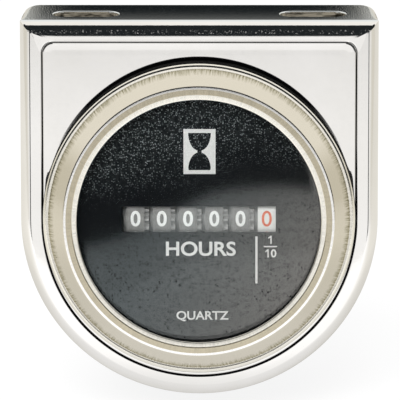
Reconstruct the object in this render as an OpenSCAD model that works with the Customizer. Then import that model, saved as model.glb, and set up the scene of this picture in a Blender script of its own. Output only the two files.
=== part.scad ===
// Quartz hour meter in a plated under-dash bracket.
// Millimetres, +Z up. The origin lies on top of the flange, midway between its two slots.
// The dial looks towards -Y and leans back by face_tilt.

/* [Bracket] */
// Margin of the raised panel outside the bezel
panel_margin = 0.1; // [0.1:0.1:6]
// Thickness of the plated sheet
sheet_t = 1.2; // [0.8:0.1:1.6]
// Outer radius of the rolled edge
edge_r = 2.1; // [1.8:0.1:3]
// Width of the border beside and below the raised panel
border_w = 4.4; // [3.6:0.1:4.4]
// Width of the border above the raised panel
top_border_w = 4.1; // [3.6:0.1:8]
// Height of the raised panel above the border
panel_lift = 0.5; // [0.2:0.1:0.7]
// Radius of the panel's two upper corners
panel_corner_r = 2; // [1:0.5:6]
// Width of the crease line round the panel
crease_w = 0.4; // [0.2:0.1:0.8]
// Depth of the crease line below the border
crease_depth = 0.35; // [0.1:0.05:0.4]
// Depth of the side walls behind the border
wall_depth = 7; // [5:0.5:10]
// Height of the flange bend above the bezel
top_margin = 5.5; // [4.6:0.1:16]
// Drop of the bracket's round foot below the dial centre
foot_drop = 0.9; // [0:0.1:3]
// Drop of the panel's round foot below the dial centre
panel_drop = 1.2; // [0:0.1:1.4]
// Lean of the dial against the flange's upright, degrees
face_tilt = 8; // [0:1:15]
// Depth of the flange behind its bend
flange_depth = 11.8; // [10:0.1:20]
// Narrowing of the flange on each side towards its back edge
flange_taper = 1.3; // [0:0.1:3]
// Radius of the flange's back corners
flange_corner_r = 2.5; // [0.5:0.5:4]
// Distance between the centres of the two slots
slot_spacing = 43.2; // [36:0.1:48]
// Length of a slot
slot_l = 12.5; // [9:0.1:14]
// Width of a slot
slot_w = 4.3; // [3.6:0.1:5.2]
// Distance of the slots behind the bend
slot_setback = 4.6; // [3.4:0.1:6]

/* [Bezel, lens and dial] */
// Reach of the bezel past the case
bezel_reach = 3.5; // [3.3:0.1:3.9]
// Thickness of the bezel sheet
bezel_t = 0.45; // [0.35:0.05:0.5]
// Radius of the bead at the foot of the bezel
bead_r = 0.6; // [0.5:0.05:0.7]
// Inset of the bezel's crest from the case's side
crest_inset = 0.15; // [0:0.05:0.5]
// Radius of the rounding on the crest
crest_r = 0.4; // [0.2:0.05:0.6]
// Width of the bezel's front face
face_ring_w = 1.5; // [1.2:0.1:1.8]
// Width of the bezel's sloped lip
lip_w = 1.45; // [1:0.05:1.8]
// Height of the bezel's front face above the lens
lip_h = 1.7; // [1.2:0.1:2.4]
// Thickness of the lens at its edge
lens_t = 1.35; // [1:0.05:2]
// Rise of the lens from its edge to its middle
lens_dome = 0.9; // [0.2:0.05:1.2]
// Inset of the lens from the case's side
lens_inset = 0.2; // [0.1:0.05:1]
// Thickness of the gasket behind the lens
lens_gasket_t = 0.4; // [0.3:0.05:0.6]
// Thickness of the gasket between bezel and panel
panel_gasket_t = 3.8; // [0.4:0.1:5]
// Thickness of the dial plate
dial_t = 0.4; // [0.3:0.05:0.6]
// Inset of the dial plate from the case's side
dial_inset = 0.5; // [0.3:0.05:1]
// Cover of the dial over each end of the row of wheels
window_cover = 0.38; // [0.2:0.02:0.6]
// Height of the dial's window
window_h = 4.9; // [4:0.1:6]

/* [Case] */
// Diameter of the case behind the panel
case_d = 52; // [46:0.5:60]
// Wall of the case
case_wall = 2; // [1.4:0.1:2.2]
// Thickness of the case's back
case_floor_t = 2; // [1.9:0.1:4]
// Thickness of the case's mounting flange
case_flange_t = 0.6; // [0.5:0.05:0.8]
// Room between the edges of the case's flange and of the bezel
flange_room = 1.9; // [1.8:0.05:2.2]
// Width of the chamfer round the case's back
case_chamfer = 1.2; // [0.4:0.1:1.8]
// Width of a blade terminal
blade_w = 6.35; // [4.8:0.05:6.4]
// Thickness of a blade terminal
blade_t = 0.8; // [0.5:0.1:1]
// Length of a blade behind the case
blade_l = 8; // [6:0.5:12]
// Distance between the two blades
blade_spacing = 16; // [12:0.5:20]
// Height of the blades below the dial centre
blade_drop = 11.5; // [10.5:0.5:14]

/* [Clamp] */
// Thickness of the clamp strap
strap_t = 1.2; // [1:0.1:1.6]
// Width of the clamp strap
strap_w = 10; // [8:0.5:11]
// Room between the case and the clamp's two legs
strap_room = 1.8; // [0.8:0.1:1.9]
// Inner radius of the clamp's two bends
strap_bend_r = 2; // [1:0.5:3]
// Diameter of a clamp stud
stud_d = 4; // [3:0.5:5]
// Distance between the two studs
stud_spacing = 35; // [32:0.5:38]
// Height of the bosses that carry the studs
boss_h = 1.6; // [1:0.2:3]
// Gap between the bosses and the strap
strap_gap = 0.6; // [0.2:0.1:1.5]
// Width across flats of a clamp nut
nut_af = 7; // [6:0.5:9]
// Height of a clamp nut
nut_h = 3.2; // [2:0.2:5]
// Thickness of a lock washer
washer_t = 0.8; // [0.5:0.1:1.2]

/* [Number wheels] */
// Diameter of a number wheel
wheel_d = 13; // [12.4:0.1:13.2]
// Distance between neighbouring number wheels
wheel_pitch = 4.96; // [4.9:0.01:5.1]
// Width of the printed rim
drum_w = 3.4; // [3.2:0.05:3.45]
// Thickness of the printed rim
drum_rim_t = 0.8; // [0.6:0.1:1.2]
// Thickness of the wheel's web
web_t = 0.8; // [0.6:0.1:1.2]
// Diameter of a wheel's hub
wheel_hub_d = 3.4; // [2.8:0.1:4.4]
// Width of the gear on a wheel's right side
wheel_gear_w = 0.85; // [0.7:0.05:0.9]
// Width of the carry disc on a wheel's left side
carry_w = 0.6; // [0.4:0.05:0.65]
// Diameter of the carry disc
carry_d = 8.4; // [7:0.1:8.8]
// Reach of the two carry lugs past the disc
carry_lug_h = 0.35; // [0.1:0.05:0.4]
// Gap between the dial and the number wheels
wheel_gap = 0.25; // [0.15:0.05:0.5]
// Offset of the wheels to the right of the dial centre
digit_shift = 0.4; // [-0.5:0.1:0.8]
// Diameter of the wheel shaft
shaft_d = 1.4; // [1:0.1:1.5]
// Diameter of the pinion shaft
pinion_shaft_d = 1.2; // [0.8:0.1:1.6]

/* [Gears] */
// Module of the number wheel gears
wheel_module = 0.55; // [0.54:0.005:0.57]
// Module of the second reduction
second_module = 0.4; // [0.36:0.01:0.41]
// Module of the first reduction
first_module = 0.32; // [0.28:0.01:0.34]
// Play between meshing teeth
tooth_play = 0.14; // [0.1:0.01:0.18]
// Width of a gear in the reduction
train_w = 0.9; // [0.6:0.1:1.2]
// Side gap between gears in the reduction
train_gap = 0.3; // [0.2:0.05:0.5]
// Diameter of the intermediate gear's arbor
arbor_d = 1; // [0.7:0.1:1.2]
// Diameter of the rotor's arbor
rotor_arbor_d = 0.8; // [0.5:0.1:0.9]
// Radial play of a turning piece on its shaft
bore_play = 0.05; // [0.02:0.01:0.08]

/* [Motor] */
// Diameter of the rotor magnet
magnet_d = 5.2; // [4:0.1:5.8]
// Length of the rotor magnet
magnet_l = 3.2; // [2:0.1:3.6]
// Air gap round the magnet
air_gap = 0.5; // [0.3:0.1:0.7]
// Thickness of the stator and of the coil core
stator_t = 1.6; // [1.2:0.1:2]
// Distance of the stator from the right plate
stator_setback = 7; // [6.6:0.1:7.6]
// Side of the square stator
stator_w = 15; // [14.6:0.2:15.4]
// Width of the stator limb that holds the rotor
rotor_limb_w = 7.2; // [6.8:0.1:7.6]
// Width of the two side limbs and of the coil core
limb_w = 3; // [2.8:0.1:3.2]
// Side of the bobbin's square cheeks
cheek_w = 7.8; // [7:0.1:8.2]
// Wall of the bobbin
bobbin_wall = 0.6; // [0.4:0.1:0.8]
// Margin of the winding inside the cheeks
winding_margin = 0.5; // [0.3:0.1:1]

/* [Movement frame and board] */
// Inner radius of the case that the movement is drawn for
movement_r = 24; // [23.9:0.05:24.5]
// Thickness of the movement frame's plates
plate_t = 1.2; // [1:0.1:1.4]
// Half height of the movement frame's plates
plate_half_h = 12; // [11.8:0.1:12.2]
// Depth of the circuit board behind the panel
board_depth = 32.6; // [32.4:0.1:40]
// Thickness of the circuit board
board_t = 1.2; // [0.8:0.1:1.6]
// Height of the circuit board
board_h = 29; // [28.5:0.5:32]
// Height of the case posts under the board
post_h = 2.2; // [1.8:0.2:2.6]
// Diameter of the small screws
screw_d = 1.9; // [1.6:0.1:2]
// Diameter of the small screws' heads
screw_head_d = 3.2; // [2.8:0.1:3.4]

/* [Hidden] */
$fn = 64;

// Small room between pieces that are put together and stay put
fit = 0.05;
// Length by which a cutting shape runs past the face that it cuts
past = 1;

// Bracket places, in the frame of the leaning face: y runs back from the panel's front, z up the face
case_r = case_d / 2;
bezel_r = case_r + bezel_reach;
panel_half = bezel_r + panel_margin;
half_w = panel_half + border_w;
face_top = bezel_r + top_margin;
border_y = panel_lift;
bend_y = border_y + edge_r;
wall_end = border_y + wall_depth;
panel_top = face_top + edge_r - top_border_w;
hole_play = 0.4;
hole_r = case_r + hole_play;
face_y = -slot_setback - bend_y * cos(face_tilt) - face_top * sin(face_tilt);
face_z = -edge_r + bend_y * sin(face_tilt) - face_top * cos(face_tilt);

// Depths of the stack from the panel's front to the bezel's front, counted forwards
curl_p = panel_gasket_t;
case_flange_p = curl_p + bezel_t;
case_front_p = case_flange_p + case_flange_t;
dial_p = case_front_p + dial_t;
lens_back_p = dial_p + lens_gasket_t;
lens_p = lens_back_p + lens_t;
bezel_p = lens_p + lip_h;
crest_out_r = case_r - crest_inset;
face_ring_r = crest_out_r - face_ring_w;
opening_r = face_ring_r - lip_w;
bead_c = [bezel_r - bead_r, curl_p + bead_r];
crest_c = [crest_out_r - crest_r, bezel_p - crest_r];
cone_foot = [bead_c[0] - bead_r / 2, curl_p + bezel_t + bead_r / 2];
gasket_r = bezel_r + panel_margin;
curl_play = 1;
curl_r = case_r + curl_play;

// Case, with the movement sized to the room inside it
case_in_r = case_r - case_wall;
movement_k = case_in_r / movement_r;
board_y = board_depth;
case_floor = movement_k * (board_y + board_t + post_h);
case_back = case_floor + case_floor_t;
case_flange_r = bezel_r - flange_room;

// Clamp
strap_y = case_back + boss_h + strap_gap;
nut_y = strap_y + strap_t + washer_t;
stud_over = 1.6;
stud_end = nut_y + nut_h + stud_over;
boss_wall = 2;
boss_d = stud_d + 2 * boss_wall;
stud_seat = 1.8;

// Width of a terminal's tail where it goes through the board
terminal_tail_w = 2;

// Counter: wheel 0 shows tenths, wheel 5 shows ten thousands
wheel_count = 6;
function digit_x(i) = digit_shift + ((wheel_count - 1) / 2 - i) * wheel_pitch;
wheel_teeth = 20;
pinion_teeth = 8;
second_teeth = 32;
first_teeth = 40;
wheel_r = wheel_d / 2;
counter_y = -case_front_p + wheel_gap + wheel_r;
wheel_c = [counter_y, 0];
pinion_dir = -60;
second_dir = 10;
first_dir = 90;
function polar(r, a) = [r * cos(a), r * sin(a)];
function centres(m, big) = m * (big + pinion_teeth) / 2;
pinion_c = wheel_c + polar(centres(wheel_module, wheel_teeth), pinion_dir);
mid_c = pinion_c + polar(centres(second_module, second_teeth), second_dir);
rotor_c = mid_c + polar(centres(first_module, first_teeth), first_dir);

// Places along the shafts
gear_end = digit_x(0) + drum_w / 2 + wheel_gear_w;
clip_t = 0.3;
drive_x = gear_end + clip_t + 3 * fit;
first_x = drive_x + train_w + train_gap;
right_x = first_x + train_w + 2 * train_gap;
left_x = digit_x(5) - drum_w / 2 - carry_w - train_gap;
pinion_side_gap = 0.1;
pinion_w = wheel_pitch - drum_w - 2 * pinion_side_gap;
stator_x = right_x - stator_setback;
core_x = stator_x - stator_t;
magnet_x = stator_x - stator_t / 2 - magnet_l / 2;
bridge_x = core_x - stator_t - plate_t;

// Motor, in y and z
stator_front = rotor_c[0] - rotor_limb_w / 2;
stator_back = stator_front + stator_w;
stator_low = rotor_c[1] - stator_w / 2;
stator_top = rotor_c[1] + stator_w / 2;
core_c = stator_back - limb_w / 2;
coil_gap = 0.1;
coil_low = stator_low + limb_w + coil_gap;
coil_top = stator_top - limb_w - coil_gap;
pillar_d = 2.6;
screw_head_h = 1.1;
motor_screw_d = screw_d - 0.4;
motor_head_d = screw_head_d - 0.6;
motor_grip = 3.6;
corner_a = [stator_front + limb_w / 2, stator_top - limb_w / 2];
corner_b = [core_c, stator_top - limb_w / 2];
corner_c = [core_c, stator_low + limb_w / 2];

// Movement frame
plate_gap = 0.55;
plate_front = -case_front_p + plate_gap;
foot_t = plate_t;
foot_w = 8;
foot_margin = 0.3;
foot_l = screw_head_d + 2 * foot_margin;
foot_y = board_y - foot_t;
left_screw_x = left_x - plate_t - foot_l / 2;
right_screw_x = right_x + plate_t + foot_l / 2;
bar_h = 2;
bar_t = 2.2;

// Colours
chrome = [0.80, 0.80, 0.78];
nickel = [0.80, 0.77, 0.66];
black = [0.08, 0.08, 0.08];
steel = [0.66, 0.66, 0.68];
natural = [0.86, 0.86, 0.82];
white = [0.94, 0.94, 0.92];
brass = [0.82, 0.68, 0.36];
copper = [0.72, 0.38, 0.20];

// Sets its children on the leaning face of the bracket
module on_face() {
    translate([0, face_y, face_z])
        rotate([-face_tilt, 0, 0]) children();
}

// Turns a section of radius and forward depth about the dial's axis
module about_dial() {
    on_face() rotate([90, 0, 0]) rotate_extrude() children();
}

// Sets its children in the movement, which grows and shrinks with the case
module in_movement() {
    on_face() scale(movement_k) children();
}

// Lays a flat outline of y and z across the shafts, from x on, with its thickness along +X
module across(x, c) {
    in_movement() translate([x, c[0], c[1]]) rotate([90, 0, 90]) children();
}

// Places an upright piece on the back of the case or on the board: its own z runs backwards
module backward(x, y, z) {
    translate([x, y, z]) rotate([-90, 0, 0]) children();
}

// Ring of rectangular section between two radii and two heights
module ring_section(r0, r1, z0, z1) {
    translate([r0, z0]) square([r1 - r0, z1 - z0]);
}

// Involute gear teeth
function inv(rb, r) = r <= rb ? 0 : sqrt(pow(r / rb, 2) - 1) * 180 / PI - acos(rb / r);
function half_tooth(n, rp, rb, r) =
    90 / n - tooth_play / (4 * rp) * 180 / PI + inv(rb, rp) - inv(rb, r);
function flank_radii(root, rb, tip) =
    let (start = max(root + 0.02, rb))
    [root, start, start + (tip - start) / 2, tip];
function tooth(n, rp, rb, radii, a) = [
    for (side = [-1, 1], k = [0 : len(radii) - 1])
        let (r = side < 0 ? radii[k] : radii[len(radii) - 1 - k])
        polar(r, a + side * half_tooth(n, rp, rb, r))
];
module gear_outline(n, m, turn, every = 1) {
    pressure_angle = 25;
    root_share = 1.2;
    tip_share = 0.85;
    rp = n * m / 2;
    rb = rp * cos(pressure_angle);
    radii = flank_radii(rp - root_share * m, rb, rp + tip_share * m);
    stub = [radii[0], radii[0] + 0.01];
    polygon([
        for (i = [0 : n - 1])
            each tooth(n, rp, rb, i % every == 0 ? radii : stub, turn + i * 360 / n)
    ]);
}

// Outline with a half-round foot and two rounded upper corners
module d_outline(half, top, corner) {
    height = top + panel_drop;
    translate([0, -panel_drop]) {
        circle(half);
        translate([-half, 0]) square([2 * half, height - corner]);
        translate([corner - half, 0]) square([2 * (half - corner), height]);
    }
    for (s = [-1, 1])
        translate([s * (half - corner), top - corner]) circle(corner);
}

// Bracket: section through the rolled edge, filled, as seen from the dial's axis outwards
module edge_section(inset, depth) {
    translate([0, border_y + inset]) square([half_w - edge_r, depth - border_y - inset]);
    translate([0, bend_y]) square([half_w - inset, depth - bend_y]);
    translate([half_w - edge_r, bend_y]) circle(edge_r - inset);
}

// Filled section through the border, the bend and the flange, in y and z
module bend_section(inset, depth) {
    low = -foot_drop - past;
    translate([border_y + inset, low]) square([depth, face_top - low]);
    translate([bend_y, face_top]) {
        circle(edge_r - inset);
        rotate(face_tilt) translate([0, -face_top]) square([depth, face_top + edge_r - inset]);
    }
}

// The tray that the sheet is drawn into, filled, set in by the sheet's thickness for its inside
module tray(inset, depth) {
    translate([0, 0, -foot_drop]) rotate([-90, 0, 0])
        rotate_extrude(angle = 180) edge_section(inset, depth);
    intersection() {
        translate([0, 0, -foot_drop]) linear_extrude(2 * face_top) {
            edge_section(inset, depth);
            mirror([1, 0]) edge_section(inset, depth);
        }
        translate([-half_w - past, 0, 0]) rotate([90, 0, 90])
            linear_extrude(2 * (half_w + past)) bend_section(inset, 2 * depth);
    }
}

// Flange outline, from the bend backwards, tapering to rounded back corners
module flange_outline() {
    start = wall_depth - edge_r;
    lean = atan2(flange_taper, flange_depth - start);
    r = flange_corner_r;
    corner_y = flange_depth - r;
    corner_x = half_w - (corner_y - start) * tan(lean) - r / cos(lean);
    side = [corner_x, corner_y] + polar(r, lean);
    polygon([
        [-half_w, 0], [half_w, 0], [half_w, start], side, [corner_x, flange_depth],
        [-corner_x, flange_depth], [-side[0], side[1]], [-half_w, start]
    ]);
    for (s = [-1, 1])
        translate([s * corner_x, corner_y]) circle(r);
}

module slot_outline() {
    reach = (slot_l - slot_w) / 2;
    for (s = [-1, 1])
        translate([s * reach, 0]) circle(d = slot_w);
    square([2 * reach, slot_w], center = true);
}

module panel_sheet(half, top, corner, y0, y1) {
    translate([0, y1, 0]) rotate([90, 0, 0]) linear_extrude(y1 - y0) d_outline(half, top, corner);
}

module mounting_bracket() {
    back_inset = 0.1;
    color(chrome) difference() {
        union() {
            on_face() difference() {
                union() {
                    difference() {
                        tray(0, wall_end);
                        tray(sheet_t, wall_end + past);
                    }
                    panel_sheet(panel_half, panel_top, panel_corner_r, 0, sheet_t + panel_lift);
                }
                panel_sheet(
                    panel_half - back_inset, panel_top - back_inset, panel_corner_r,
                    sheet_t, sheet_t + panel_lift + past
                );
                difference() {
                    panel_sheet(
                        panel_half + crease_w, panel_top + crease_w, panel_corner_r + crease_w,
                        -past, border_y + crease_depth
                    );
                    panel_sheet(panel_half, panel_top, panel_corner_r, -2 * past, border_y + past);
                }
                rotate([-90, 0, 0]) translate([0, 0, -past]) cylinder(r = hole_r, h = wall_end + past);
            }
            translate([0, -slot_setback, -sheet_t]) linear_extrude(sheet_t) flange_outline();
        }
        for (s = [-1, 1])
            translate([s * slot_spacing / 2, 0, -sheet_t - past])
                linear_extrude(sheet_t + 2 * past) slot_outline();
    }
}

// Bezel: a rolled foot, a cone up to the rounded crest, a flat face and a sloped lip on the lens
module bezel_section() {
    run = crest_c - cone_foot;
    cone_dir = atan2(run[1], run[0]) - asin(crest_r / norm(run));
    out = polar(1, cone_dir - 90);
    high = crest_c + crest_r * out;
    slope = polar(1, cone_dir);
    low = high - slope * (high[1] - curl_p - bezel_t / 2) / slope[1];
    lip_t = bezel_t / 2;
    translate(bead_c) circle(bead_r);
    translate(crest_c) circle(crest_r);
    ring_section(curl_r, bead_c[0], curl_p, curl_p + bezel_t);
    polygon([
        low, high, [crest_c[0], bezel_p], [face_ring_r, bezel_p],
        [opening_r, lens_p + lip_t], [opening_r, lens_p], [opening_r + 2 * lip_t, lens_p],
        [face_ring_r + lip_t, bezel_p - bezel_t], [crest_c[0], bezel_p - bezel_t],
        high - bezel_t * out, low - bezel_t * out
    ]);
}

module bezel() {
    color(nickel) about_dial() bezel_section();
}

// Lens: flat where the bezel and the gasket hold it, domed inside the bezel's opening
module lens() {
    steps = 12;
    dome_edge = opening_r - 2 * fit;
    dome_r = (pow(dome_edge, 2) + pow(lens_dome, 2)) / (2 * lens_dome);
    color([0.9, 0.95, 1, 0.3]) about_dial() {
        ring_section(0, case_r - lens_inset, lens_back_p, lens_p);
        polygon([
            [0, lens_back_p],
            [dome_edge, lens_back_p],
            for (i = [steps : -1 : 0])
                let (r = dome_edge * i / steps)
                [r, lens_p + lens_dome - dome_r + sqrt(pow(dome_r, 2) - pow(r, 2))]
        ]);
    }
}

module lens_gasket() {
    inset = 0.2;
    color(black) about_dial() ring_section(case_in_r + inset, case_r - dial_inset, dial_p, lens_back_p);
}

module dial_plate() {
    window_w = movement_k * wheel_count * wheel_pitch - 2 * window_cover;
    color(black) difference() {
        about_dial() ring_section(0, case_r - dial_inset, case_front_p, dial_p);
        on_face() translate([-window_w / 2, -dial_p - past, -window_h / 2])
            cube([window_w, dial_t + 2 * past, window_h]);
    }
}

// Panel gasket: bears the flat foot of the bezel, and stays a hair below its bead
module panel_gasket() {
    color(black) about_dial() {
        ring_section(case_r + 3 * fit, bead_c[0] - bead_r, 0, panel_gasket_t);
        ring_section(case_r + 3 * fit, gasket_r, 0, panel_gasket_t - fit);
    }
}

// Case: cup with a thin flange, board posts inside, stud bosses and terminal slots on the back
module case_section() {
    translate([0, -case_back]) polygon([
        [0, 0], [case_r - case_chamfer, 0], [case_r, case_chamfer],
        [case_r, case_back + case_front_p], [case_in_r, case_back + case_front_p],
        [case_in_r, case_back - case_floor], [0, case_back - case_floor]
    ]);
    ring_section(case_in_r, case_flange_r, case_flange_p, case_front_p);
}

module meter_case() {
    post_wall = 1.2;
    post_d = screw_d + 2 * post_wall;
    rest_inset = 2.5;
    rest_z = board_h / 2 - rest_inset;
    board_back = board_y + board_t;
    color(black) difference() {
        union() {
            about_dial() case_section();
            in_movement() {
                for (x = [left_screw_x, right_screw_x])
                    backward(x, board_back, 0) cylinder(d = post_d, h = post_h + past);
                for (z = [-rest_z, rest_z])
                    backward(0, board_back, z) cylinder(d = post_d, h = post_h + past);
            }
            on_face() for (s = [-1, 1])
                backward(s * stud_spacing / 2, case_floor + past, 0)
                    cylinder(d = boss_d, h = case_back - case_floor - past + boss_h);
        }
        in_movement() for (x = [left_screw_x, right_screw_x])
            backward(x, board_back - past, 0) cylinder(d = screw_d + 2 * fit, h = post_h + past);
        for (s = [-1, 1]) {
            on_face() backward(s * stud_spacing / 2, case_back - stud_seat + boss_h, 0)
                cylinder(d = stud_d + 2 * fit, h = stud_seat + past);
            on_face() translate([s * blade_spacing / 2 - blade_t / 2 - fit, case_floor - past, 0])
                translate([0, 0, -blade_drop - blade_w / 2 - fit])
                    cube([blade_t + 2 * fit, case_back - case_floor + 2 * past, blade_w + 2 * fit]);
        }
    }
}

// Blade terminal: tab with a bevelled end and a hole, shoulders inside the case, tail in the board
module terminal(side) {
    shoulder_t = 0.8;
    shoulder_w = blade_w + 2 * shoulder_t;
    bevel = 1.2;
    hole_d = 1.7;
    board_front = movement_k * board_y;
    tail_over = 0.4;
    tab_end = case_back + blade_l;
    color(brass) on_face() translate([side * blade_spacing / 2 - blade_t / 2, 0, -blade_drop])
        rotate([90, 0, 90]) linear_extrude(blade_t) difference() {
            union() {
                translate([board_front - tail_over, -terminal_tail_w / 2])
                    square([case_floor - board_front, terminal_tail_w]);
                translate([case_floor - shoulder_t, -shoulder_w / 2]) square([shoulder_t, shoulder_w]);
                polygon([
                    [case_floor - shoulder_t, -blade_w / 2], [tab_end - bevel, -blade_w / 2],
                    [tab_end, bevel - blade_w / 2], [tab_end, blade_w / 2 - bevel],
                    [tab_end - bevel, blade_w / 2], [case_floor - shoulder_t, blade_w / 2]
                ]);
            }
            translate([tab_end - blade_l / 2, 0]) circle(d = hole_d);
        }
}

module terminal_left() {
    terminal(-1);
}

module terminal_right() {
    terminal(1);
}

// Clamp: a strap bent to a U whose legs press on the back of the panel
module strap_outline() {
    half = case_r + strap_room + strap_t;
    back = strap_y + strap_t;
    r = strap_bend_r + strap_t;
    for (s = [-1, 1]) {
        translate([s * (half - strap_t / 2) - strap_t / 2, sheet_t]) square([strap_t, back - r - sheet_t]);
        translate([s * (half - r), back - r]) intersection() {
            difference() {
                circle(r);
                circle(strap_bend_r);
            }
            translate([s > 0 ? 0 : -r, 0]) square([r, r]);
        }
    }
    translate([r - half, strap_y]) square([2 * (half - r), strap_t]);
}

module clamp_strap() {
    color(steel) on_face() difference() {
        translate([0, 0, -strap_w / 2]) linear_extrude(strap_w) strap_outline();
        for (s = [-1, 1])
            translate([s * stud_spacing / 2, strap_y - past, 0]) rotate([-90, 0, 0])
                cylinder(d = stud_d + 10 * fit, h = strap_t + 2 * past);
    }
}

module clamp_studs() {
    seat_y = case_back + boss_h - stud_seat;
    color(steel) for (s = [-1, 1])
        on_face() backward(s * stud_spacing / 2, seat_y, 0) cylinder(d = stud_d, h = stud_end - seat_y);
}

module clamp_washers() {
    split = 0.6;
    color(steel) for (s = [-1, 1])
        on_face() backward(s * stud_spacing / 2, strap_y + strap_t, 0) difference() {
            cylinder(d = nut_af, h = washer_t);
            translate([0, 0, -past]) cylinder(d = stud_d + 4 * fit, h = washer_t + 2 * past);
            translate([0, -split / 2, -past]) cube([nut_af, split, washer_t + 2 * past]);
        }
}

module clamp_nuts() {
    color(steel) for (s = [-1, 1])
        on_face() backward(s * stud_spacing / 2, nut_y, 0) difference() {
            cylinder(d = nut_af / cos(30), h = nut_h, $fn = 6);
            translate([0, 0, -past]) cylinder(d = stud_d + 2 * fit, h = nut_h + 2 * past);
        }
}

// Movement frame: two plates, three bars, three motor pillars and two feet on the board
module plate_holes(x) {
    for (hole = [[wheel_c, shaft_d], [pinion_c, pinion_shaft_d]])
        across(x - past, hole[0]) cylinder(d = hole[1] + 2 * fit, h = plate_t + 2 * past);
}

module plate(x, back) {
    across(x, [0, 0]) linear_extrude(plate_t) {
        translate([plate_front, -plate_half_h]) square([back - plate_front, 2 * plate_half_h]);
        translate([plate_front, -foot_w / 2]) square([board_y - plate_front, foot_w]);
    }
}

module foot(screw_x) {
    in_movement() difference() {
        translate([screw_x - foot_l / 2, foot_y, -foot_w / 2]) cube([foot_l, foot_t, foot_w]);
        translate([screw_x, foot_y - past, 0]) rotate([-90, 0, 0])
            cylinder(d = screw_d + 4 * fit, h = foot_t + 2 * past);
    }
}

module bar(y, z, height, depth) {
    in_movement() translate([left_x - plate_t, y, z]) cube([right_x - left_x + 2 * plate_t, depth, height]);
}

module movement_frame() {
    left_back = counter_y + wheel_r;
    color(natural) difference() {
        union() {
            plate(left_x - plate_t, left_back);
            plate(right_x, stator_back);
            foot(left_screw_x);
            foot(right_screw_x);
            bar(plate_front, plate_half_h - bar_h, bar_h, 2 * bar_t);
            bar(plate_front, -plate_half_h, bar_h, bar_t);
            for (corner = [corner_a, corner_b, corner_c])
                across(stator_x, corner) cylinder(d = pillar_d, h = right_x - stator_x + plate_t / 2);
        }
        plate_holes(left_x - plate_t);
        plate_holes(right_x);
        across(right_x - past, mid_c) cylinder(d = arbor_d + 2 * fit, h = plate_t + 2 * past);
        across(right_x - past, rotor_c) cylinder(d = rotor_arbor_d + 2 * fit, h = plate_t + 2 * past);
        for (corner = [corner_a, corner_b, corner_c])
            across(stator_x - past, corner)
                cylinder(d = motor_screw_d + 2 * fit, h = 2 * past + motor_grip);
    }
}

module wheel_shaft() {
    over = 0.5;
    color(steel) across(left_x - plate_t - over, wheel_c)
        cylinder(d = shaft_d, h = right_x - left_x + 2 * (plate_t + over));
}

module pinion_shaft() {
    over = 0.5;
    color(steel) across(left_x - plate_t - over, pinion_c)
        cylinder(d = pinion_shaft_d, h = right_x - left_x + 2 * (plate_t + over));
}

module retaining_clip() {
    color(steel) across(gear_end + fit, wheel_c) difference() {
        cylinder(d = shaft_d + 2, h = clip_t);
        translate([0, 0, -past]) cylinder(d = shaft_d + fit, h = clip_t + 2 * past);
        translate([0, -shaft_d * 0.35, -past]) cube([shaft_d + 2, shaft_d * 0.7, clip_t + 2 * past]);
    }
}

// Number wheel: printed rim, web and hub, a gear on its right and a carry disc on its left
module wheel_section() {
    bore_r = shaft_d / 2 + bore_play;
    hub_r = wheel_hub_d / 2;
    ring_section(bore_r, hub_r, -drum_w / 2 - carry_w, drum_w / 2 + wheel_gear_w);
    ring_section(bore_r, wheel_r, drum_w / 2 - web_t, drum_w / 2);
    ring_section(wheel_r - drum_rim_t, wheel_r, -drum_w / 2, drum_w / 2);
    ring_section(bore_r, carry_d / 2, -drum_w / 2 - carry_w, -drum_w / 2);
}

module number_wheel(i, tone) {
    bore_r = shaft_d / 2 + bore_play;
    lug_w = 0.9;
    lug_step = 360 / wheel_teeth;
    color(tone) across(digit_x(i), wheel_c) {
        rotate_extrude() wheel_section();
        translate([0, 0, drum_w / 2]) linear_extrude(wheel_gear_w) difference() {
            gear_outline(wheel_teeth, wheel_module, pinion_dir + 180 / wheel_teeth);
            circle(bore_r);
        }
        translate([0, 0, -drum_w / 2 - carry_w]) linear_extrude(carry_w)
            for (a = [-lug_step, lug_step])
                rotate(a) translate([carry_d / 2 - lug_w, -lug_w / 2])
                    square([lug_w + carry_lug_h, lug_w]);
    }
}

module wheel_tenths() {
    number_wheel(0, white);
}

module wheel_units() {
    number_wheel(1, black);
}

module wheel_tens() {
    number_wheel(2, black);
}

module wheel_hundreds() {
    number_wheel(3, black);
}

module wheel_thousands() {
    number_wheel(4, black);
}

module wheel_ten_thousands() {
    number_wheel(5, black);
}

// Transfer pinion: eight teeth in the gear of wheel i, every second tooth beside the next carry disc
module transfer_pinion(i) {
    x = digit_x(i) + drum_w / 2 + pinion_side_gap;
    full_w = wheel_gear_w - pinion_side_gap;
    bore_r = pinion_shaft_d / 2 + bore_play;
    color(white) across(x, pinion_c) difference() {
        union() {
            linear_extrude(full_w) gear_outline(pinion_teeth, wheel_module, pinion_dir + 180);
            translate([0, 0, full_w]) linear_extrude(pinion_w - full_w)
                gear_outline(pinion_teeth, wheel_module, pinion_dir + 180, 2);
        }
        translate([0, 0, -past]) cylinder(r = bore_r, h = pinion_w + 2 * past);
    }
}

module pinion_units() {
    transfer_pinion(1);
}

module pinion_tens() {
    transfer_pinion(2);
}

module pinion_hundreds() {
    transfer_pinion(3);
}

module pinion_thousands() {
    transfer_pinion(4);
}

module pinion_ten_thousands() {
    transfer_pinion(5);
}

// Drive gear: turns on the pinion shaft and drives the tenths wheel
module drive_gear() {
    x = digit_x(0) + drum_w / 2 + pinion_side_gap;
    bore_r = pinion_shaft_d / 2 + bore_play;
    color(white) across(x, pinion_c) difference() {
        union() {
            linear_extrude(drive_x - x) gear_outline(pinion_teeth, wheel_module, pinion_dir + 180);
            translate([0, 0, drive_x - x]) linear_extrude(train_w)
                gear_outline(second_teeth, second_module, second_dir + 180 / second_teeth);
        }
        translate([0, 0, -past]) cylinder(r = bore_r, h = drive_x - x + train_w + 2 * past);
    }
}

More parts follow.
